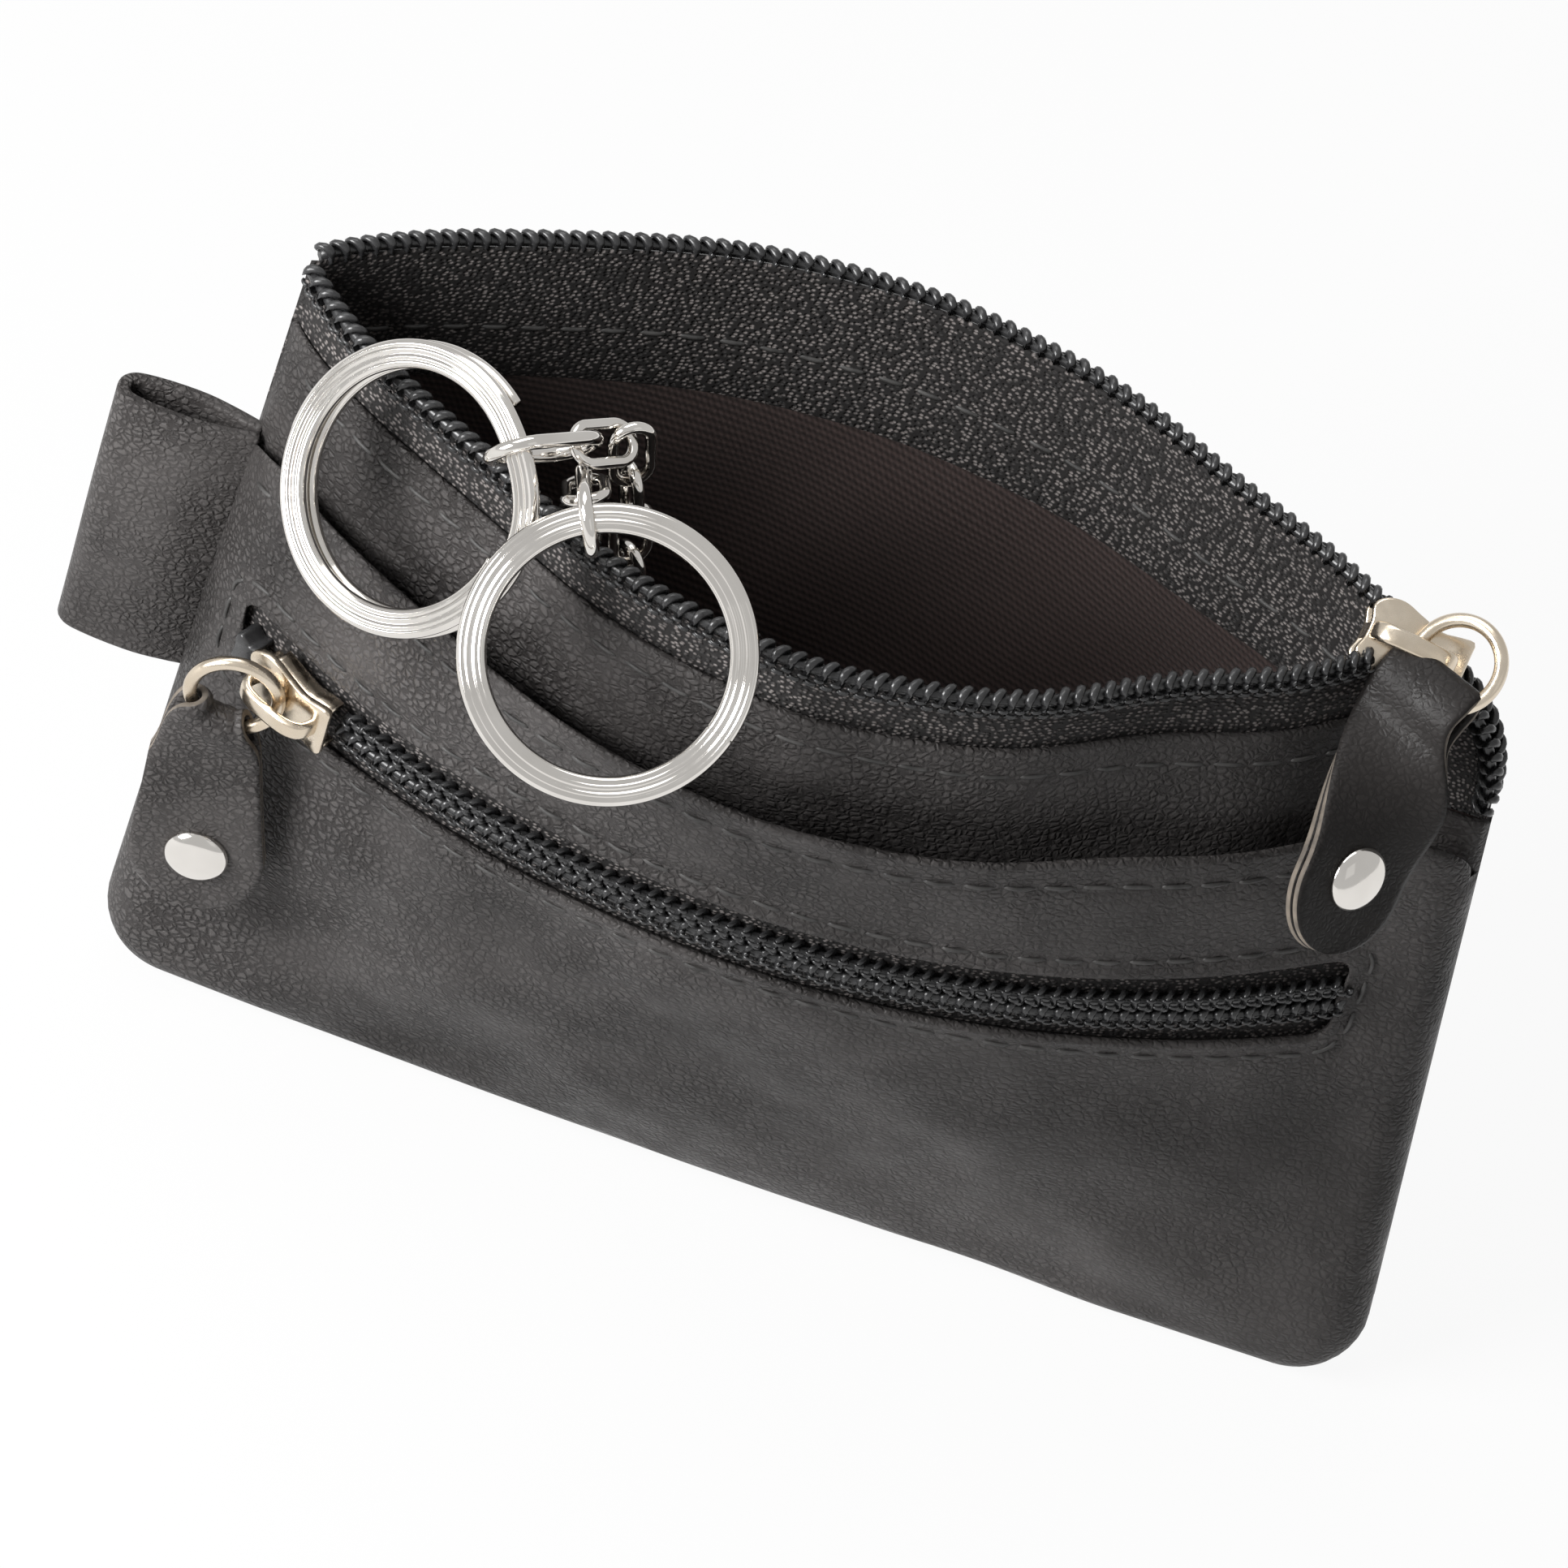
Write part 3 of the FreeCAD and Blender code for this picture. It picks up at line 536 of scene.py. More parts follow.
def even_sides(sides, counts):
    """A closed loop of sides in even steps."""
    return np.vstack([resample(s, c + 1)[:-1] for s, c in zip(sides, counts)])


def half_corner(x, z, radius, start):
    """An eighth of a circle, run clockwise to its start."""
    return np.array([x, z]) + radius * arc(start + np.linspace(pi / 4, 0, 8))


def rounded_loop(x0, x1, z0, z1, radius, counts):
    """Rounded rectangle split at the middle of its corners: top, right, bottom, left."""
    left, right, low, high = x0 + radius, x1 - radius, z0 + radius, z1 - radius
    corners = ((left, high), (right, high), (right, low), (left, low), (left, high))
    sides = []
    for i, (a, b) in enumerate(zip(corners, corners[1:])):
        start = (1 - i) * pi / 2
        first, last = half_corner(*a, radius, start), half_corner(*b, radius, start - pi / 4)
        sides.append(np.vstack([first, last]))
    return even_sides(sides, counts)


def pocket_top(x):
    """Height of the pocket's edge, which turns down at the seams."""
    left, right = seams(POCKET_EDGE)
    near = np.maximum(np.minimum(x - left, right - x), 0.0)
    return POCKET_EDGE - POCKET_DROP * (1 - roll(near, POCKET_ROLL))


def outer_outline(counts):
    """Outline of the front's outer panel, split like the window's loop."""
    first, last = corner_centres()
    top_x = np.linspace(*seams(POCKET_EDGE), 400)
    top = np.stack([top_x, pocket_top(top_x)], -1)
    z = np.linspace(top[0, 1], BOTTOM_CORNER, 30)
    left, right = (np.stack([x, z], -1) for x in seams(z))

    def corner(x, eighths):
        return half_corner(x, BOTTOM_CORNER, BOTTOM_CORNER, eighths * pi / 4)

    return even_sides([top, np.vstack([right, corner(last, -1)]),
                       np.vstack([corner(last, -2), corner(first, -3)]),
                       np.vstack([corner(first, -4), left[::-1]])], counts)


def pocket_gape(z):
    return POCKET_GAPE * np.clip((z - WINDOW[3]) / (POCKET_EDGE - WINDOW[3]), 0, None) ** 2


def window_distance(x, z):
    x0, x1, z0, z1 = WINDOW
    dx = np.maximum(np.maximum(x0 - x, x - x1), 0.0)
    dz = np.maximum(np.maximum(z0 - z, z - z1), 0.0)
    return np.hypot(dx, dz)


def outer_offset(x, z):
    """How far the front's outer face stands off the wall's bow."""
    e = edge_distance(x, z)
    near = window_distance(x, z)
    offset = PANEL_SEAM + (PANEL_FACE - PANEL_SEAM) * roll(e, PANEL_ROLL)
    calm = blend_step(e, 0.5, 6.0) * blend_step(near, 0.3, 5.0) * blend_step(POCKET_EDGE - z, 1.0, 6.0)
    dips = groove(near - ROW_ROUND_WINDOW, x + z) + groove(pocket_top(x) - ROW_BELOW_EDGE - z, x)
    return offset + folds(x, z) * calm + dips * blend_step(e, 0.4, 2.5) + 0.28 * hump(near, 0.0, 0.9)


def outer_panel():
    """The front's outer leather: inner side, lip of the window, face and hem."""
    window = rounded_loop(*WINDOW, WINDOW_CORNER, PANEL_COUNTS)
    outline = outer_outline(PANEL_COUNTS)
    share = np.hstack([[0.0, 0.012, 0.03, 0.055, 0.085, 0.12], np.linspace(0.16, 0.9, 26),
                       [0.925, 0.945, 0.962, 0.976, 0.988, 0.996, 1.0]])
    thick = (PANEL_FACE - PANEL_INNER) / 2
    turn = np.linspace(0.0, pi, 8)[1:-1]

    def flat(t):
        return window[:, None] * (1 - t)[:, None] + outline[:, None] * t[:, None]

    def offset(places):
        return outer_offset(places[..., 0], places[..., 1])

    inner = flat(share[::-2])
    inner_d = np.minimum(PANEL_INNER, offset(inner) - PANEL_LEAST)
    centre = np.array([(WINDOW[0] + WINDOW[1]) / 2, ZIP_Z])
    inwards = unit(np.clip(centre - window, -3.0, 3.0) * np.array([0.34, 1.0]))
    lip = window[:, None] + inwards[:, None] * (thick * np.sin(turn))[:, None]
    lip_d = offset(window)[:, None] - thick - thick * np.cos(turn)
    face = flat(share)
    face_d = offset(face)
    is_top = (np.arange(len(outline)) < PANEL_COUNTS[0]).astype(float)
    hem = np.repeat(outline[:, None], len(turn), 1)
    hem[..., 1] += is_top[:, None] * thick * 1.25 * np.sin(turn)
    first, last = face_d[:, -1:], inner_d[:, :1]
    hem_d = (first + last) / 2 + (first - last) / 2 * np.cos(turn)
    x, z = np.moveaxis(np.hstack([inner, lip, face, hem]), -1, 0)
    points = surface(FRONT, x, z, np.hstack([inner_d, lip_d, face_d, hem_d]), pocket_gape(z))
    # The pocket's mouth bulges near its right end
    points[..., 1] -= 2.0 * hump(x, 43.0, 4.5) * blend_step(z, 47.0, 59.0)
    return merge("front_outer_leather", [points], LEATHER, True)


def wall_shape(side, x, z):
    """Outward bulges of a leather wall, and the dip of its top row of stitches."""
    shift_x, shift_z, share = WALL_SHAPES[side]
    calm = blend_step(edge_distance(x, z), 0.5, 6.0) * blend_step(LEATHER_TOP - z, 1.0, 5.0)
    dip = groove(LEATHER_TOP - ROW_BELOW_EDGE - z, x) * (x < TOP_ROW[1])
    return above_zero(folds(x + shift_x, z + shift_z), sqrt(0.02)) * calm * share + dip


def lining_shape(side, x, z):
    calm = blend_step(edge_distance(x, z), 1.0, 8.0) * blend_step(LINING_TOP - z, 0.5, 5.0)
    wave = 0.5 * np.sin(0.19 * x + 0.12 * z + side) + 0.35 * np.sin(0.33 * x - 0.21 * z + 2.0)
    return -(0.75 + wave) * calm * 0.6


def walls():
    sew(outer_panel(), "black_leather", "front_outer_panel")
    for side, name, base, roll_width in ((FRONT, "front_inner", 0.35, 1.8), (BACK, "back", 0.0, 2.4)):
        leather = sheet(name + "_leather", side, LEATHER_FACES, 0.0, LEATHER_TOP, LEATHER, base, roll_width,
                        shape=wall_shape, corner=LEATHER_ROUND)
        sew(leather, "black_leather", name + "_panel")
    for side, name in SIDES:
        cloth = sheet(name + "_lining_cloth", side, LINING_FACES, LINING_LOW, LINING_TOP, LINING,
                      shape=lining_shape, trim=LINING_TRIM)
        sew(cloth, "lining_cloth", name + "_lining")
        tape = sheet("main_tape_" + name, side, TAPE_FACES, TAPE_LOW, TAPE_TOP, TAPE, trim=TAPE_TRIM,
                     corner=TAPE_ROUND, bottom_round=False, rows=16)
        sew(tape, "zip_tape", "main_zip_" + name + "_tape")
    bag = sheet("pocket_cloth", FRONT, POCKET_FACES, POCKET_LOW, POCKET_TOP, LINING, trim=POCKET_TRIM,
                bottom_round=False, rows=20)
    sew(bag, "lining_cloth", "front_pocket_lining")
    for name, low, high in FRONT_TAPES:
        tape = sheet("front_tape_" + name, FRONT, FRONT_TAPE_FACES, low, high, TAPE, trim=POCKET_TRIM,
                     bottom_round=False, rows=12)
        sew(tape, "zip_tape", "front_zip_" + name + "_tape")


# Zip coils, each a real helix of nylon, with rows of (out, up, start, length) of sewing thread

COIL_WIRE, COIL_CORD, COIL_THREAD, CORD_STEP = 0.32, 0.5, 0.14, 1.2
MAIN_COIL_HALVES, CLOSED_COIL_HALVES, FRONT_COIL_HALVES = (0.66, 0.82), (0.66, 0.8), (0.6, 0.72)
MAIN_COIL_OUT, FRONT_COIL_OUT = 1.0, 4.15
MAIN_COIL_ENDS = (seams(COIL_MID)[0] + 0.5, MOUTH_END - 1.2)
FRONT_COIL_ENDS = (-41.6, WINDOW[1] + 0.3)
CLOSED_COIL_ASIDE, FRONT_COIL_ASIDE, SLIDER_SINK = 0.85, 0.93, 0.35
MAIN_THREADS = ((0.98, -0.25, 0.2, 0.8), (0.9, -0.75, 0.9, 0.8), (0.62, -1.2, 0.5, 1.0))
FRONT_THREADS = ((0.88, 0.15, 0.3, 0.8), (0.66, 0.7, 0.8, 0.8))


def coil_grid(centre, out, up, half_out, half_up, phase=0.0, head=1.0):
    """Helix of wire round a line of points, each turn broad at its head; then its cord."""
    run = lengths(centre)
    at = np.linspace(0.0, run[-1], int(run[-1] / PITCH * 16))
    turn = 2 * pi * at / PITCH + phase
    here = points_at(at - 0.1 * PITCH * np.sin(2 * turn), run, centre)
    path = here + points_at(at, run, out) * (half_out * np.cos(turn))[:, None]
    path = path + points_at(at, run, up) * (half_up * np.sin(turn))[:, None]
    broad = 1.0 + 0.55 * np.clip(head * np.sin(turn), 0.0, 1.0) ** 2
    way = unit(np.gradient(here, axis=0)) * broad[:, None]
    wire = carry(path, circle_section(COIL_WIRE), way, unit(path - here))
    cord = resample(centre, int(round(run[-1] / CORD_STEP)) + 1)
    return [wire, tube_grid(cord, circle_section(COIL_CORD))]


def thread_rows(centre, out, up, rows):
    grids = []
    for offset, height, start, length in rows:
        grids += stitch_grids(centre + out * offset + up * height, out, length, PITCH, COIL_THREAD, start)
    return grids


def wall_line(side, x0, x1, z, offset, count=260):
    """Points along a wall at one height, with axes out and up."""
    centre = surface(side, np.linspace(x0, x1, count), z, offset)
    step = np.gradient(centre, axis=0)
    out = side * unit(np.stack([-step[:, 1], step[:, 0], np.zeros(count)], -1))
    return centre, out, np.repeat(UP[None], count, 0)


def closed_line(side, count=90):
    """Points of one coil on the closed corner, with axes; it tilts with the slider."""
    degrees = np.linspace(-4.0, 92.0, count)[:, None]
    held = 1.0 - blend_step(degrees, 24.0, 46.0)
    turn, tilt = np.radians(degrees), SLIDER_ROLL * held
    ray = np.hstack([np.sin(turn), np.zeros_like(turn), np.cos(turn)])
    middle = np.array([CORNER_X, 0.0, CORNER_Z]) + ZIP_REACH * ray
    middle[:, 1] = LEAN * middle[:, 2] / RIM
    across = side * (np.cos(tilt) * TO_BACK + np.sin(tilt) * ray)
    out = np.cos(tilt) * ray - np.sin(tilt) * TO_BACK
    return middle + CLOSED_COIL_ASIDE * across - SLIDER_SINK * held * out, across, out


def coil_pieces(zip_name, name, threads, turns):
    sew(merge(f"{zip_name}_coil_thread_{name}", threads, COIL), "zip_coil")
    sew(merge(f"{zip_name}_coil_{name}", turns, COIL), "zip_coil", f"{zip_name}_zip_{name}_coil")


def zip_coils():
    for side, name in SIDES:
        line = wall_line(side, *MAIN_COIL_ENDS, COIL_MID, MAIN_COIL_OUT)
        phase = 0.0 if side == FRONT else pi
        turns = coil_grid(*line, *MAIN_COIL_HALVES)
        turns += coil_grid(*closed_line(side), *CLOSED_COIL_HALVES, phase)
        coil_pieces("main", name, thread_rows(*line, MAIN_THREADS), turns)
    for name, sign in (("lower", -1), ("upper", 1)):
        line = wall_line(FRONT, *FRONT_COIL_ENDS, ZIP_Z + sign * FRONT_COIL_ASIDE, FRONT_COIL_OUT)
        rows = [(out, sign * up, start, length) for out, up, start, length in FRONT_THREADS]
        phase = 0.0 if sign < 0 else pi
        turns = coil_grid(*line, *FRONT_COIL_HALVES, phase, head=-sign)
        coil_pieces("front", name, thread_rows(*line, rows), turns)


# Stitches

STITCH_RISE, STITCH_SINK = 0.22, 0.14
POCKET_ROW, TOP_ROW = (-55.0, 49.3), (-54.0, 40.0)
TAPE_ROW_OFFSET = 0.1


def stitch_grids(points, normals, length=2.5, pitch=STITCH_PITCH, radius=0.2, start=0.8):
    """Stitches along a row, each a short tube whose ends dip into the leather."""
    run = lengths(points)
    share = np.linspace(0.0, 1.0, 9)
    height = STITCH_RISE * np.sin(pi * share) ** 0.6 - STITCH_SINK
    grids = []
    for begin in np.arange(start, run[-1] - length, pitch):
        at = begin + length * share
        lift = points_at(at, run, normals)
        line = points_at(at, run, points) + lift * height[:, None]
        grids.append(tube_grid(line, circle_section(radius, 6), side=lift[0]))
    return grids


def row_of(side, x, z, offset, gape=0.0):
    return surface(side, x, z, offset, gape), outward(side, x, z)


def outer_row(x, z):
    return row_of(FRONT, x, z, outer_offset(x, z), pocket_gape(z))


def stitches():
    x = np.linspace(*POCKET_ROW, 300)
    rows = stitch_grids(*outer_row(x, pocket_top(x) - ROW_BELOW_EDGE))
    x0, x1, z0, z1 = WINDOW
    g = ROW_ROUND_WINDOW
    loop = rounded_loop(x0 - g, x1 + g, z0 - g, z1 + g, WINDOW_CORNER + g, (150, 20, 150, 20))
    rows += stitch_grids(*outer_row(*np.vstack([loop, loop[:1]]).T), length=2.3, pitch=3.2)
    sew(merge("stitches_front_outer", rows, THREAD), "black_leather")
    x = np.linspace(*TOP_ROW, 280)
    z = np.full_like(x, LEATHER_TOP - ROW_BELOW_EDGE)
    for side, name in ((FRONT, "front_inner"), (BACK, "back")):
        rows = stitch_grids(*row_of(side, x, z, LEATHER_FACES[1] + wall_shape(side, x, z)))
        sew(merge("stitches_" + name, rows, THREAD), "black_leather")
    for side, name in SIDES:
        points, normals = row_of(side, x, z, TAPE_ROW_OFFSET)
        rows = stitch_grids(points, -normals, length=2.2, radius=0.24)
        sew(merge("stitches_tape_" + name, rows, THREAD), "zip_tape")


# Belt loop and the strap inside

LOOP_LOW, LOOP_HEIGHT, LOOP_Y, LOOP_LEATHER = 30.0, 28.0, 5.2, 1.15
LOOP_X, LOOP_FOLD = -HALF + 0.5, 10.7
LOOP_HALF = ((-1.2, 0.62), (1.4, 1.2), (4.0, 1.6), (7.0, 1.6), (9.6, 1.3), (10.5, 0.75))
STRAP_X, STRAP_WIDTH, STRAP_LEATHER = -18.5, 16.0, 0.8
STRAP_LINE = ((0.1, 1.0), (0.15, 8.0), (0.3, 16.0), (0.44, 22.3))


def strap_section(width, thickness, round_over=0.3, count=24):
    """Closed loop of (across, through) for a leather strap with softened edges."""
    half, deep = width / 2, thickness / 2
    r = min(round_over, deep * 0.95)
    loop = []
    for sx, sy, start in ((1, 1, 0.0), (-1, 1, 0.5), (-1, -1, 1.0), (1, -1, 1.5)):
        turn = (start + np.linspace(0, 0.5, 5)) * pi
        loop.append(np.array([sx * (half - r), sy * (deep - r)]) + r * arc(turn))
    loop = np.concatenate(loop + [loop[0][:1]])
    dense = []
    for p, q in zip(loop, loop[1:]):
        n = 1 if np.hypot(*(q - p)) < 1.0 else count
        dense += [p + (q - p) * k / n for k in range(n)]
    return np.array(dense)


def belt_loop():
    z = LOOP_LOW + LOOP_HEIGHT / 2
    path = [(LOOP_X - out, LOOP_Y - half, z) for out, half in LOOP_HALF] + [(LOOP_X - LOOP_FOLD, LOOP_Y, z)]
    path += [(LOOP_X - out, LOOP_Y + half, z) for out, half in LOOP_HALF[::-1]]
    points = tube_grid(smooth_path(path, 90), strap_section(LOOP_HEIGHT, LOOP_LEATHER))
    bulge = np.sin(np.linspace(0, pi, len(points)))[:, None]
    points[..., 1] += 0.35 * np.sin(0.21 * points[..., 2] + 1.0) * bulge
    sew(merge("belt_loop_leather", [points], TAB_LEATHER), "black_leather", "belt_loop")


def key_strap():
    line = smooth_path([(STRAP_X, y, z) for y, z in STRAP_LINE], 40)
    points = tube_grid(line, strap_section(STRAP_WIDTH, STRAP_LEATHER, 0.25), side=(1, 0, 0))
    sew(merge("key_strap_leather", [points], LEATHER), "black_leather", "key_strap")


# Split rings, links and chains; an oval link has a length, a width and a wire radius

RING_RADIUS, RING_BAND, RING_WIRE, RING_GAP = 12.0, 2.4, 1.15, 0.45
RING_MIDDLE = RING_RADIUS - RING_BAND / 2
RING_RIDGE, RING_ENDS, RING_CROSSING = 0.065, (35.0, 685.0), 30.0
TERMINAL = (10.8, 6.3, 0.6)
LINK = (7.0, 4.2, 0.5)
LINK_PLAY, RING_HOLD_GAP, CHAIN_LINKS = 0.5, 1.9, 13
RING_RIGHT = np.array([0.945, 0.229, 0.232])
RINGS = {
    "left": {"centre": (-41.8, -11.0, 73.6), "normal": (-0.494, -0.713, 0.497), "held_at": 15.5,
             "lead": (0.69, 0.684, -0.233), "anchor": (-14.0, 0.4, 19.6)},
    "right": {"centre": (-22.5, -22.4, 74.7), "normal": (-0.008, -0.695, 0.719), "held_at": 98.5,
              "lead": (-0.134, 0.857, -0.497), "anchor": (-23.0, 0.4, 19.6)},
}


def ring_axes(ring):
    normal = unit(np.array(ring["normal"]))
    right = unit(RING_RIGHT - normal * (RING_RIGHT @ normal))
    return right, np.cross(normal, right), normal


def ring_section():
    """Flat wire whose two faces are rolled into soft ridges."""
    right, left = np.split(oval_section(RING_BAND, RING_WIRE, 7), 2)
    half = RING_BAND / 2 - RING_WIRE / 2
    across = np.linspace(half, -half, 19)[1:-1]
    face = RING_WIRE / 2 - RING_RIDGE * (1 + np.cos(2 * pi * across / half))
    top = np.stack([across, face], -1)
    return np.vstack([right, top, left, -top])


def split_ring_grid(ring):
    """Wire of almost two turns that crosses from one face of the ring to the other."""
    right, up, normal = ring_axes(ring)
    degrees = np.linspace(*RING_ENDS, 420)
    crossing = np.clip((degrees - 360.0) / RING_CROSSING, -1, 1)
    z = (RING_WIRE + RING_GAP) / 2 * np.sin(crossing * pi / 2)
    out = arc(np.radians(degrees)) @ np.stack([right, up])
    path = np.array(ring["centre"]) + RING_MIDDLE * out + z[:, None] * normal
    return carry(path, ring_section(), out, np.broadcast_to(normal, path.shape))


def oval_grid(centre, along, across, size, count=20):
    length, width, wire = size
    across = unit(across - along * (across @ along))
    turn = np.linspace(-pi / 2, pi / 2, count)
    head = along * (length / 2 - width / 2) + (width / 2 - wire) * (arc(turn) @ np.stack([along, across]))
    return tube_grid(np.vstack([centre + head, centre - head]), circle_section(wire, 12), True)


def ring_links(ring):
    """Terminal link and chain of one ring."""
    right, up, _ = ring_axes(ring)
    turn = radians(ring["held_at"])
    spot = np.array(ring["centre"]) + (cos(turn) * right + sin(turn) * up) * RING_MIDDLE
    tangent = -sin(turn) * right + cos(turn) * up
    lead, anchor = np.array(ring["lead"]), np.array(ring["anchor"])
    along = unit(lead - tangent * (lead @ tangent))
    middle = spot + along * (TERMINAL[0] / 2 - 2 * TERMINAL[2] - RING_HOLD_GAP)
    terminal = oval_grid(middle, along, np.cross(tangent, along), TERMINAL)
    reach = LINK[0] / 2 - LINK[2]
    joining = middle + along * (TERMINAL[0] / 2 - TERMINAL[2] + reach - TERMINAL[2] - LINK[2] - LINK_PLAY)
    links = [oval_grid(joining, along, tangent, LINK)]
    hook = joining + along * reach
    run = unit(anchor - hook)
    start = hook - run * (2 * LINK[2] + LINK_PLAY)
    steps = CHAIN_LINKS - 1
    step = (np.linalg.norm(anchor - start) - 2 * reach) / steps
    across = unit(TO_BACK - run * run[1])
    side, facing = np.cross(run, across), np.cross(run, tangent)
    turned = atan2(facing @ side, facing @ across)
    half_turns = round((pi / 2 * steps - turned) / pi)
    twist = (turned + half_turns * pi) / steps
    for i in range(CHAIN_LINKS):
        facing = across * cos(twist * i) + side * sin(twist * i)
        links.append(oval_grid(anchor - run * (reach + step * i), run, facing, LINK))
    return terminal, links


def rings_and_chains():
    for name, ring in RINGS.items():
        loose(merge(name + "_ring_wire", [split_ring_grid(ring)], NICKEL), "nickel", name + "_split_ring")
        terminal, links = ring_links(ring)
        loose(merge(name + "_terminal_wire", [terminal], NICKEL, True), "nickel", name + "_terminal_link")
        sew(merge(name + "_chain_wire", links, NICKEL, True), "nickel", name + "_key_chain")


# Sliders and pulls, in each slider's own axes: along the zip, across it, and out

PULL_RADIUS, PULL_WIRE = 3.7, 0.6
TAB_LENGTH, TAB_HALF, TAB_THICK, TAB_COLUMNS = 22.0, 5.75, 0.75, 25
TAB_PLAY, TAB_GAP, TAB_TIP, TAB_BEND = 0.8, 0.02, 0.02, 2.6
BRIDGE_HOLE = 2.5
FRONT_SLIDER_X, FRONT_SLIDER_OUT = -46.0, 4.35
TOP_PLATE, BOTTOM_PLATE, POST = (1.05, 1.75), (-2.55, -1.85), (-1.95, 1.15)
PLATE_BEVEL, POST_BEVEL, POST_X = 0.22, 0.05, -3.0
SLIDER_HALF = ((4.5, 1.4), (4.4, 2.5), (3.2, 2.45), (1.6, 2.2), (-0.4, 2.7), (-2.2, 3.2), (-3.7, 2.9),
               (-4.5, 2.0), (-4.2, 0.8))
RAIL_HEIGHT, RAIL_SIZE = 0.35, (1.7, 0.62)
RAIL = ((4.2, 2.2), (3.0, 2.15), (1.6, 1.95), (-0.4, 2.4), (-2.2, 2.85))
BRIDGE_SIZE = (1.7, 0.8)
BRIDGE = ((-3.5, 1.4), (-3.5, 2.4), (-3.0, 3.3), (-1.8, 3.75), (0.4, 3.8), (2.0, 3.6), (3.0, 2.9), (3.3, 1.4))
STOP, STOP_X, STOP_BEVEL = (-1.7, 0.6), -5.9, 0.25
RIVET_SHARE = 0.7
RIVET_PROFILE = ((0.02, 1.22), (0.7, 1.2), (1.4, 1.1), (2.05, 0.9), (2.5, 0.62), (2.74, 0.34), (2.8, 0.12),
                 (2.72, 0.0), (1.2, -0.1), (1.2, -0.7))
# Rise of the ring and the tab's place round it in degrees, the tab's way down, leather and shape
PULLS = {
    # The main tab's leather is the darker copy that paints the tab's shade.
    "main": (152.0, 264.0, (0.0, -0.719, -0.695), SHADED_TAB_LEATHER,
             {"lean": -19.0, "arc": 0.0, "hold": 5.0, "gather": 0.0, "loose": 1.7, "twist": 66.0,
              "sway": -0.13, "plus": (4.2, 14.0), "minus": (4.2, 14.0)}),
    "front": (34.0, 270.0, (0.0, 0.0, -1.0), TAB_LEATHER,
              {"lean": 20.0, "arc": 50.0, "hold": 2.4, "gather": 0.06, "loose": 0.1, "twist": 0.0,
               "sway": -0.04, "plus": (3.7, 5.0), "minus": (2.8, 15.0)}),
}


def slider_frames():
    """Origin and axes of each slider."""
    st, ct = sin(SLIDER_TURN), cos(SLIDER_TURN)
    sr, cr = sin(SLIDER_ROLL), cos(SLIDER_ROLL)
    height = CORNER_Z + ZIP_REACH * ct
    main = (np.array([CORNER_X + ZIP_REACH * st, LEAN * height / RIM, height]),
            np.array([[ct, 0.0, -st], [sr * st, cr, sr * ct], [cr * st, -sr, cr * ct]]))
    _, centre, deep, radius = bow_circle(FRONT, ZIP_Z)
    run = radius + FRONT_SLIDER_OUT
    turn = asin((FRONT_SLIDER_X - centre) / run)
    out = np.array([sin(turn), -cos(turn), 0.0])
    along = np.array([cos(turn), sin(turn), 0.0])
    origin = np.array([centre, LEAN * ZIP_Z / RIM - deep, ZIP_Z]) + out * run
    return {"main": main, "front": (origin, np.stack([along, UP, out]))}


def to_frame(points, slider):
    origin, axes = slider
    return origin + points @ axes


def plate_grid(outline, low, high, bevel):
    """A plate with rounded rims, as rings of its outline."""
    inward = unit(outline.mean(0) - outline)
    rims = ((bevel, low), (bevel * 0.3, low + bevel * 0.3), (0.0, low + bevel),
            (0.0, high - bevel), (bevel * 0.3, high - bevel * 0.3), (bevel, high))
    return np.stack([np.column_stack([outline + inward * run, np.full(len(outline), z)]) for run, z in rims])


def slider_outline(scale=1.0):
    loop = list(SLIDER_HALF) + [(x, -y) for x, y in SLIDER_HALF[::-1]]
    return smooth_path(loop + loop[:1], 72)[:-1] * scale


def slider_object(name, slider):
    grids = [plate_grid(slider_outline(), *TOP_PLATE, PLATE_BEVEL),
             plate_grid(slider_outline(0.97), *BOTTOM_PLATE, PLATE_BEVEL),
             plate_grid(slider_outline(0.2) * (1.2, 1.4) + (POST_X, 0.0), *POST, POST_BEVEL)]
    for sign in (-1, 1):
        rail = [(x, sign * y, RAIL_HEIGHT) for x, y in RAIL]
        grids.append(tube_grid(smooth_path(rail, 20), oval_section(*RAIL_SIZE, 5)))
    arch = [(x, 0, z) for x, z in BRIDGE]
    grids.append(tube_grid(smooth_path(arch, 44), oval_section(*BRIDGE_SIZE, 6), side=TO_BACK))
    return merge(name, [to_frame(g, slider) for g in grids], WARM_NICKEL)


def pull_frame(rise_deg, round_deg, down):
    """Lead and hole of a pull ring; place and axes of its tab."""
    rise, turn = radians(rise_deg), radians(round_deg)
    lead = np.array([-cos(rise), 0.0, sin(rise)])
    hole = UP * BRIDGE_HOLE
    spot = hole + PULL_RADIUS * (lead * (1 + cos(turn)) + TO_BACK * sin(turn))
    across = TO_BACK * cos(turn) - lead * sin(turn)
    up = -unit(np.array(down))
    across = unit(across - up * (across @ up))
    return lead, hole, spot, np.stack([across, np.cross(up, across), up])


def tab_half_width(z, neck, run):
    """Half width of a tab at a height, from its neck to the round end."""
    half = neck + (TAB_HALF - neck) * np.clip(-z / run, 0.0, 1.0)
    tip = np.sqrt(np.maximum(TAB_HALF ** 2 - np.maximum(-z - TAB_LENGTH + TAB_HALF, 0.0) ** 2, 0.0))
    return np.minimum(half, tip)


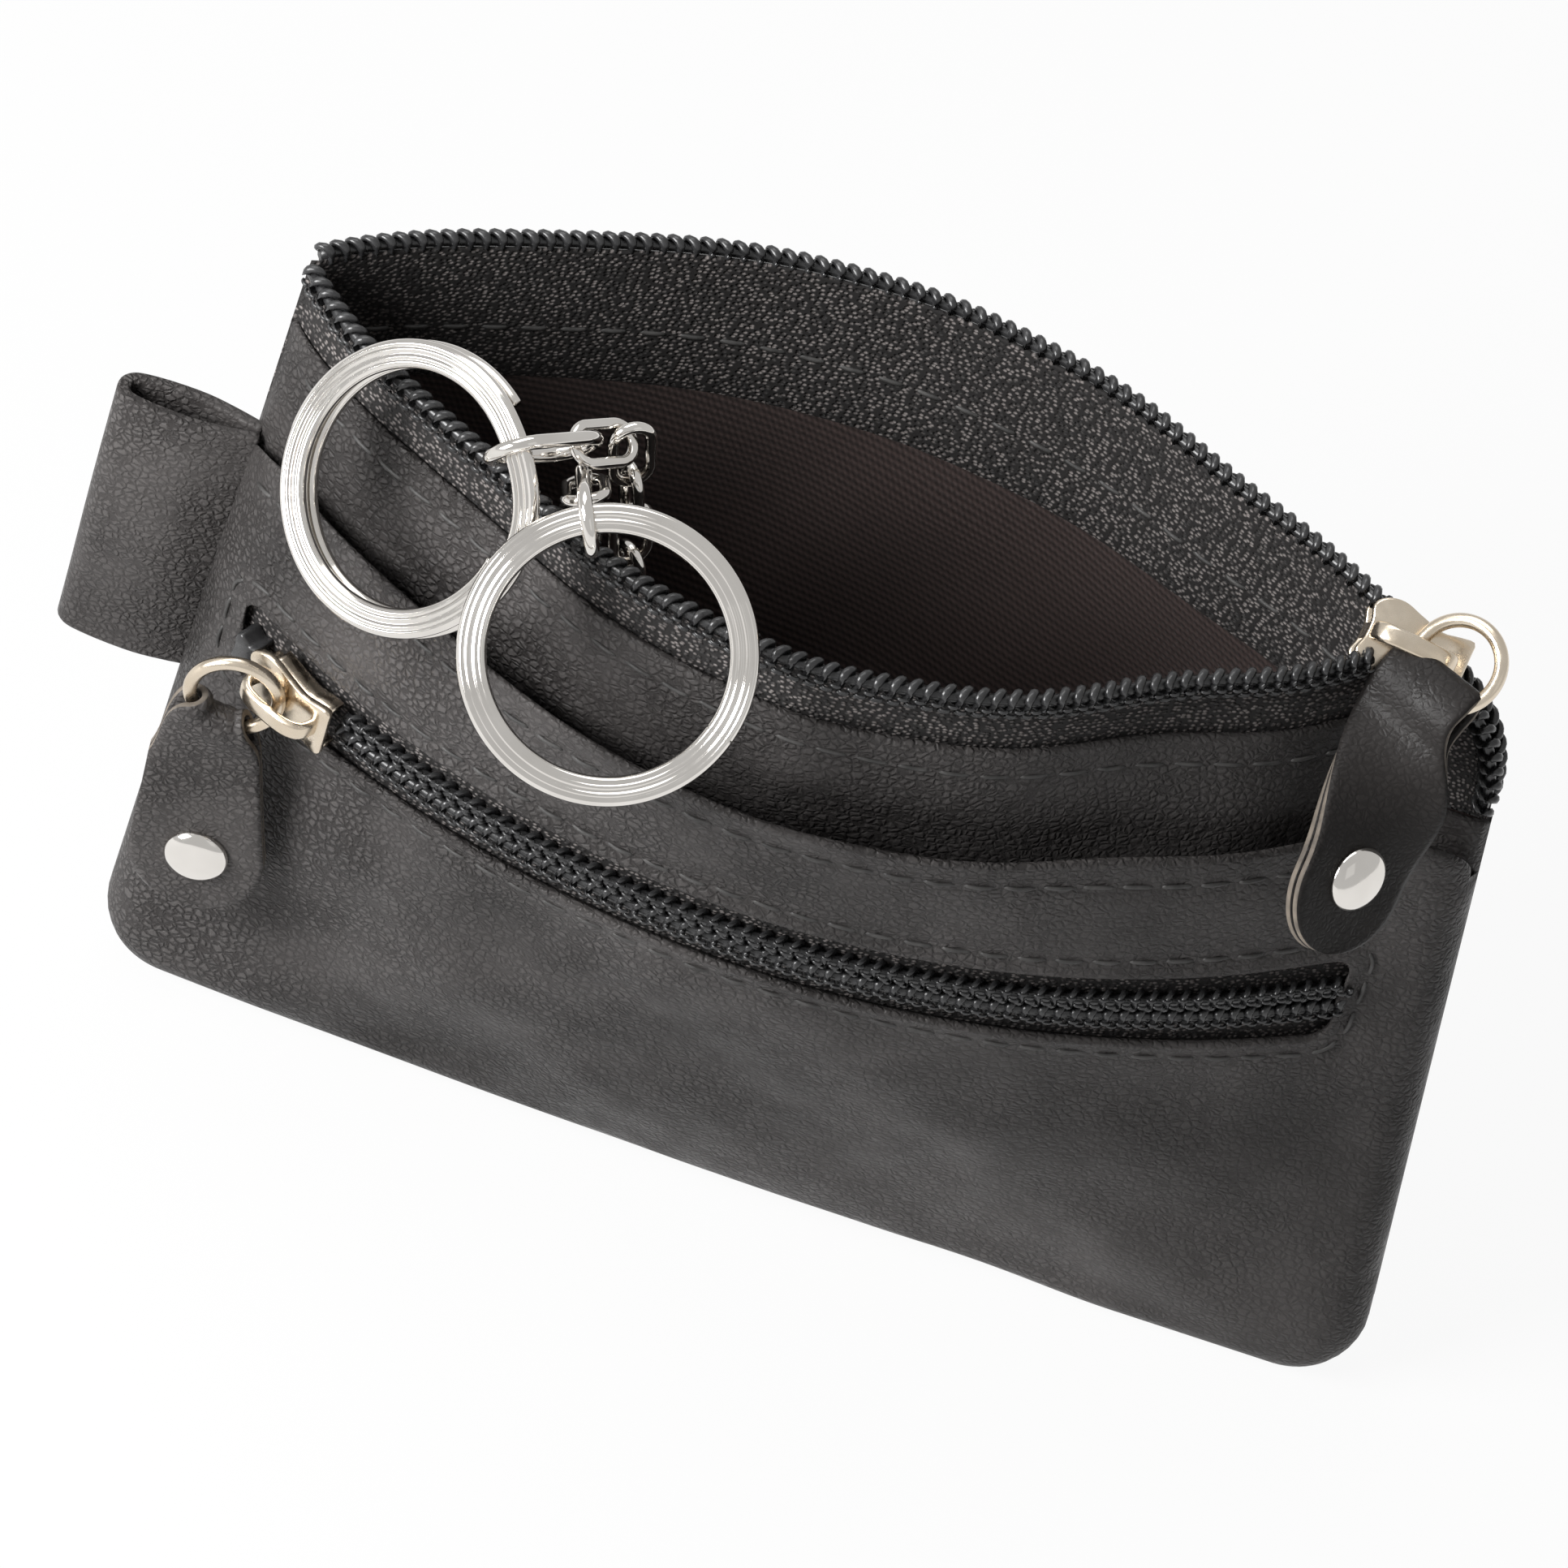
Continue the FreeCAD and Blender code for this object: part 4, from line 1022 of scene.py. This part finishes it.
def twisted(x, y, z, twist_deg):
    """Points of a tab turned about its length, more and more down to the rivet."""
    turn = np.radians(twist_deg) * blend_step(-z, 1.0, 15.0)
    return x * np.cos(turn) - y * np.sin(turn), x * np.sin(turn) + y * np.cos(turn)


def tab_grid(shape):
    """Leather folded over its ring: down the back, round the eye and down the front."""
    eye, layer = TAB_THICK / 2 + TAB_PLAY, TAB_THICK / 2 + TAB_GAP
    turn = np.linspace(0, pi, 26)
    end = TAB_LENGTH - TAB_HALF
    drop = -np.hstack([np.linspace(0.0, TAB_BEND, 10)[1:], np.linspace(TAB_BEND, end, 30)[1:],
                       end + (TAB_HALF - TAB_TIP) * np.sin(np.linspace(0, pi / 2, 22))[1:]])
    gap = layer + (eye - layer) * (1 - blend_step(-drop, 0.0, 3.4))
    round_eye = arc(turn) * (eye, eye + shape["loose"])
    line = np.vstack([np.stack([gap, drop], -1)[::-1], round_eye, np.stack([-gap, drop], -1)])
    tangent = unit(np.gradient(line, axis=0))
    through = np.stack([tangent[:, 1], -tangent[:, 0]], -1)
    across = np.hstack([np.linspace(-1, 1, TAB_COLUMNS), np.linspace(1, -1, TAB_COLUMNS)])
    width = np.where(across > 0, tab_half_width(line[:, 1:], *shape["plus"]),
                     tab_half_width(line[:, 1:], *shape["minus"]))
    face = np.repeat([1.0, -1.0], TAB_COLUMNS) * TAB_THICK / 2
    soft = np.clip((1 - np.abs(across)) * 9, 0, 1) ** 0.5 * 0.35 + 0.65
    x = np.maximum(width, TAB_TIP) * across
    deep = face * soft
    dish = 0.16 * np.sin(0.4 * line[:, 1])[:, None] * across ** 2
    y = line[:, :1] + through[:, :1] * deep + dish
    z = line[:, 1:] + through[:, 1:] * deep
    held = hump(np.minimum(line[:, 1:], 0.0), 0.0, shape["hold"])
    bend = np.radians(shape["lean"] + shape["arc"] * across)
    gathers = shape["gather"] * (np.sin(7.0 * bend + 0.6) + 0.6 * np.sin(13.0 * bend + 2.0))
    gathers = gathers * hump(line[:, 1:], 0.6, 1.5)
    if shape["arc"] > 0:
        reach = PULL_RADIUS - z - gathers
        held_x, held_z = reach * np.sin(bend), PULL_RADIUS - reach * np.cos(bend)
    else:
        c, s = np.cos(bend), np.sin(bend)
        held_x, held_z = x * c - (z - PULL_RADIUS) * s, PULL_RADIUS + x * s + (z - PULL_RADIUS) * c
    x, z = x * (1 - held) + held_x * held, z * (1 - held) + held_z * held
    x, y = twisted(x, y + gathers * np.sign(line[:, :1]), z, shape["twist"])
    return np.stack([x + shape["sway"] * np.maximum(-z, 0.0), y, z], -1)


def cut_edges(piece):
    """Gives the two cut edges of a tab their own material."""
    piece.data.materials.append(CUT_EDGE)
    for i, face in enumerate(piece.data.polygons):
        if len(face.vertices) == 4 and i % TAB_COLUMNS == TAB_COLUMNS - 1:
            face.material_index = 1


def rivet_grids(shape):
    """Domed heads on both sides of a tab."""
    spot_z, grids = -TAB_LENGTH * RIVET_SHARE, []
    circle = circle_section(1.0, 40)
    for side in (-1, 1):
        rings = []
        for radius, height in RIVET_PROFILE:
            flat = radius * circle
            x, y = twisted(flat[:, 0], side * (TAB_THICK + height), spot_z, shape["twist"])
            z = spot_z + flat[:, 1]
            rings.append(np.stack([x - shape["sway"] * z, y, z], -1))
        grids.append(np.stack(rings))
    return grids


def pulls():
    frames = slider_frames()
    for name, (rise, round_deg, down, leather, shape) in PULLS.items():
        slider = frames[name]
        loose(slider_object(name + "_slider_body", slider), "nickel", name + "_slider")
        lead, hole, spot, axes = pull_frame(rise, round_deg, slider[1] @ np.array(down))
        ring = hole + PULL_RADIUS * lead + circle_section(PULL_RADIUS, 72) @ np.stack([lead, TO_BACK])
        ring = to_frame(tube_grid(ring, circle_section(PULL_WIRE, 14), True), slider)
        loose(merge(name + "_ring_wire", [ring], WARM_NICKEL, True), "nickel", name + "_pull_ring")
        piece = merge(name + "_tab_leather", [to_frame(spot + tab_grid(shape) @ axes, slider)], leather)
        cut_edges(piece)
        loose(piece, "black_leather", name + "_pull_tab")
        rivets = [to_frame(spot + grid @ axes, slider) for grid in rivet_grids(shape)]
        piece = merge(name + "_rivet_cap", rivets, NICKEL)
        finish_piece(piece, name + "_pull_tab", "nickel", name + "_pull_rivet")
    stop = plate_grid(slider_outline(0.3) * (0.9, 1.7) + (STOP_X, 0.0), *STOP, STOP_BEVEL)
    sew(merge("front_stop_blob", [to_frame(stop, frames["front"])], COIL), "zip_coil", "front_zip_stop")


# Camera, floor and light

CAMERA_AXES = ((0.9452, 0.2294, 0.2325), (-0.3265, 0.6819, 0.6545), (-0.0084, -0.6945, 0.7194))
CAMERA_PLACE = Vector((-12.443, -555.612, 619.665)) / MM
FLOOR_HALF, FLOOR_GLOW = 6.0, 0.93
WORLD_LIGHT, WORLD_IN_GLOSS = 0.045, 0.6
MIDDLE = (0.0, 0.0, 0.04)


def camera():
    """The camera fitted to the photo; its axes are right, up and back."""
    data = bpy.data.cameras.new("camera")
    data.lens, data.sensor_width = 221.72, 36.0
    data.clip_start, data.clip_end = 0.05, 50.0
    made = place_object("camera", data)
    made.matrix_world = Matrix.Translation(CAMERA_PLACE) @ Matrix(CAMERA_AXES).transposed().to_4x4()
    bpy.context.scene.camera = made


def background_share(tree):
    """One for rays from the camera and rays that show the background in gloss."""
    rays = add(tree, "LightPath").outputs
    share = combine("MAXIMUM", rays["Is Camera Ray"], rays["Is Glossy Ray"])
    return combine("MAXIMUM", share, rays["Is Transmission Ray"])


def floor():
    h = FLOOR_HALF
    mesh = bpy.data.meshes.new("floor")
    mesh.from_pydata([(-h, -h, 0), (h, -h, 0), (h, h, 0), (-h, h, 0)], [], [(0, 1, 2, 3)])
    material, tree = start_material("floor_white")
    shade(material, Base_Color=(0.9, 0.9, 0.9, 1), Roughness=0.9)
    glow = add(tree, "Emission", {"Color": WHITE, "Strength": 1.0})
    share = combine("MULTIPLY", background_share(tree), FLOOR_GLOW)
    plain = tree.nodes["Principled BSDF"].outputs[0]
    mix = add(tree, "MixShader", {0: share, 1: plain, 2: glow.outputs[0]})
    join(mix.outputs[0], tree.nodes["Material Output"].inputs["Surface"])
    mesh.materials.append(material)
    made = place_object("floor", mesh)


def world():
    """Dim light all round, which looks brighter in gloss and white behind the pouch."""
    made = bpy.data.worlds.new("studio")
    bpy.context.scene.world = made
    made.use_nodes = True
    tree = made.node_tree
    plain = tree.nodes["Background"]
    join(WHITE, plain.inputs["Color"])
    join(WORLD_LIGHT, plain.inputs["Strength"])
    rays = add(tree, "LightPath").outputs
    seen = plain.outputs[0]
    for ray, strength in (("Is Glossy Ray", WORLD_IN_GLOSS), ("Is Camera Ray", 1.0)):
        bright = add(tree, "Background", {"Color": WHITE, "Strength": strength})
        seen = add(tree, "MixShader", {0: rays[ray], 1: seen, 2: bright.outputs[0]}).outputs[0]
    join(seen, tree.nodes["World Output"].inputs["Surface"])


def lamp(name, place, target, size, power):
    data = bpy.data.lights.new(name, "AREA")
    data.shape, data.size, data.size_y, data.energy = "RECTANGLE", *size, power
    made = place_object(name, data)
    made.location = place
    made.rotation_euler = (Vector(target) - Vector(place)).to_track_quat("-Z", "Y").to_euler()


def lights():
    lamp("key", (-0.36, -0.24, 0.28), (-0.02, 0.0, 0.04), (0.25, 0.25), 3.5)
    lamp("top", (-0.3, 0.25, 0.8), MIDDLE, (0.7, 0.4), 2.2)
    lamp("fill", (0.6, -0.5, 0.6), MIDDLE, (0.4, 0.5), 0.1)


camera()
floor()
world()
lights()
walls()
zip_coils()
stitches()
belt_loop()
key_strap()
rings_and_chains()
pulls()
bpy.context.scene.view_settings.view_transform = "Standard"
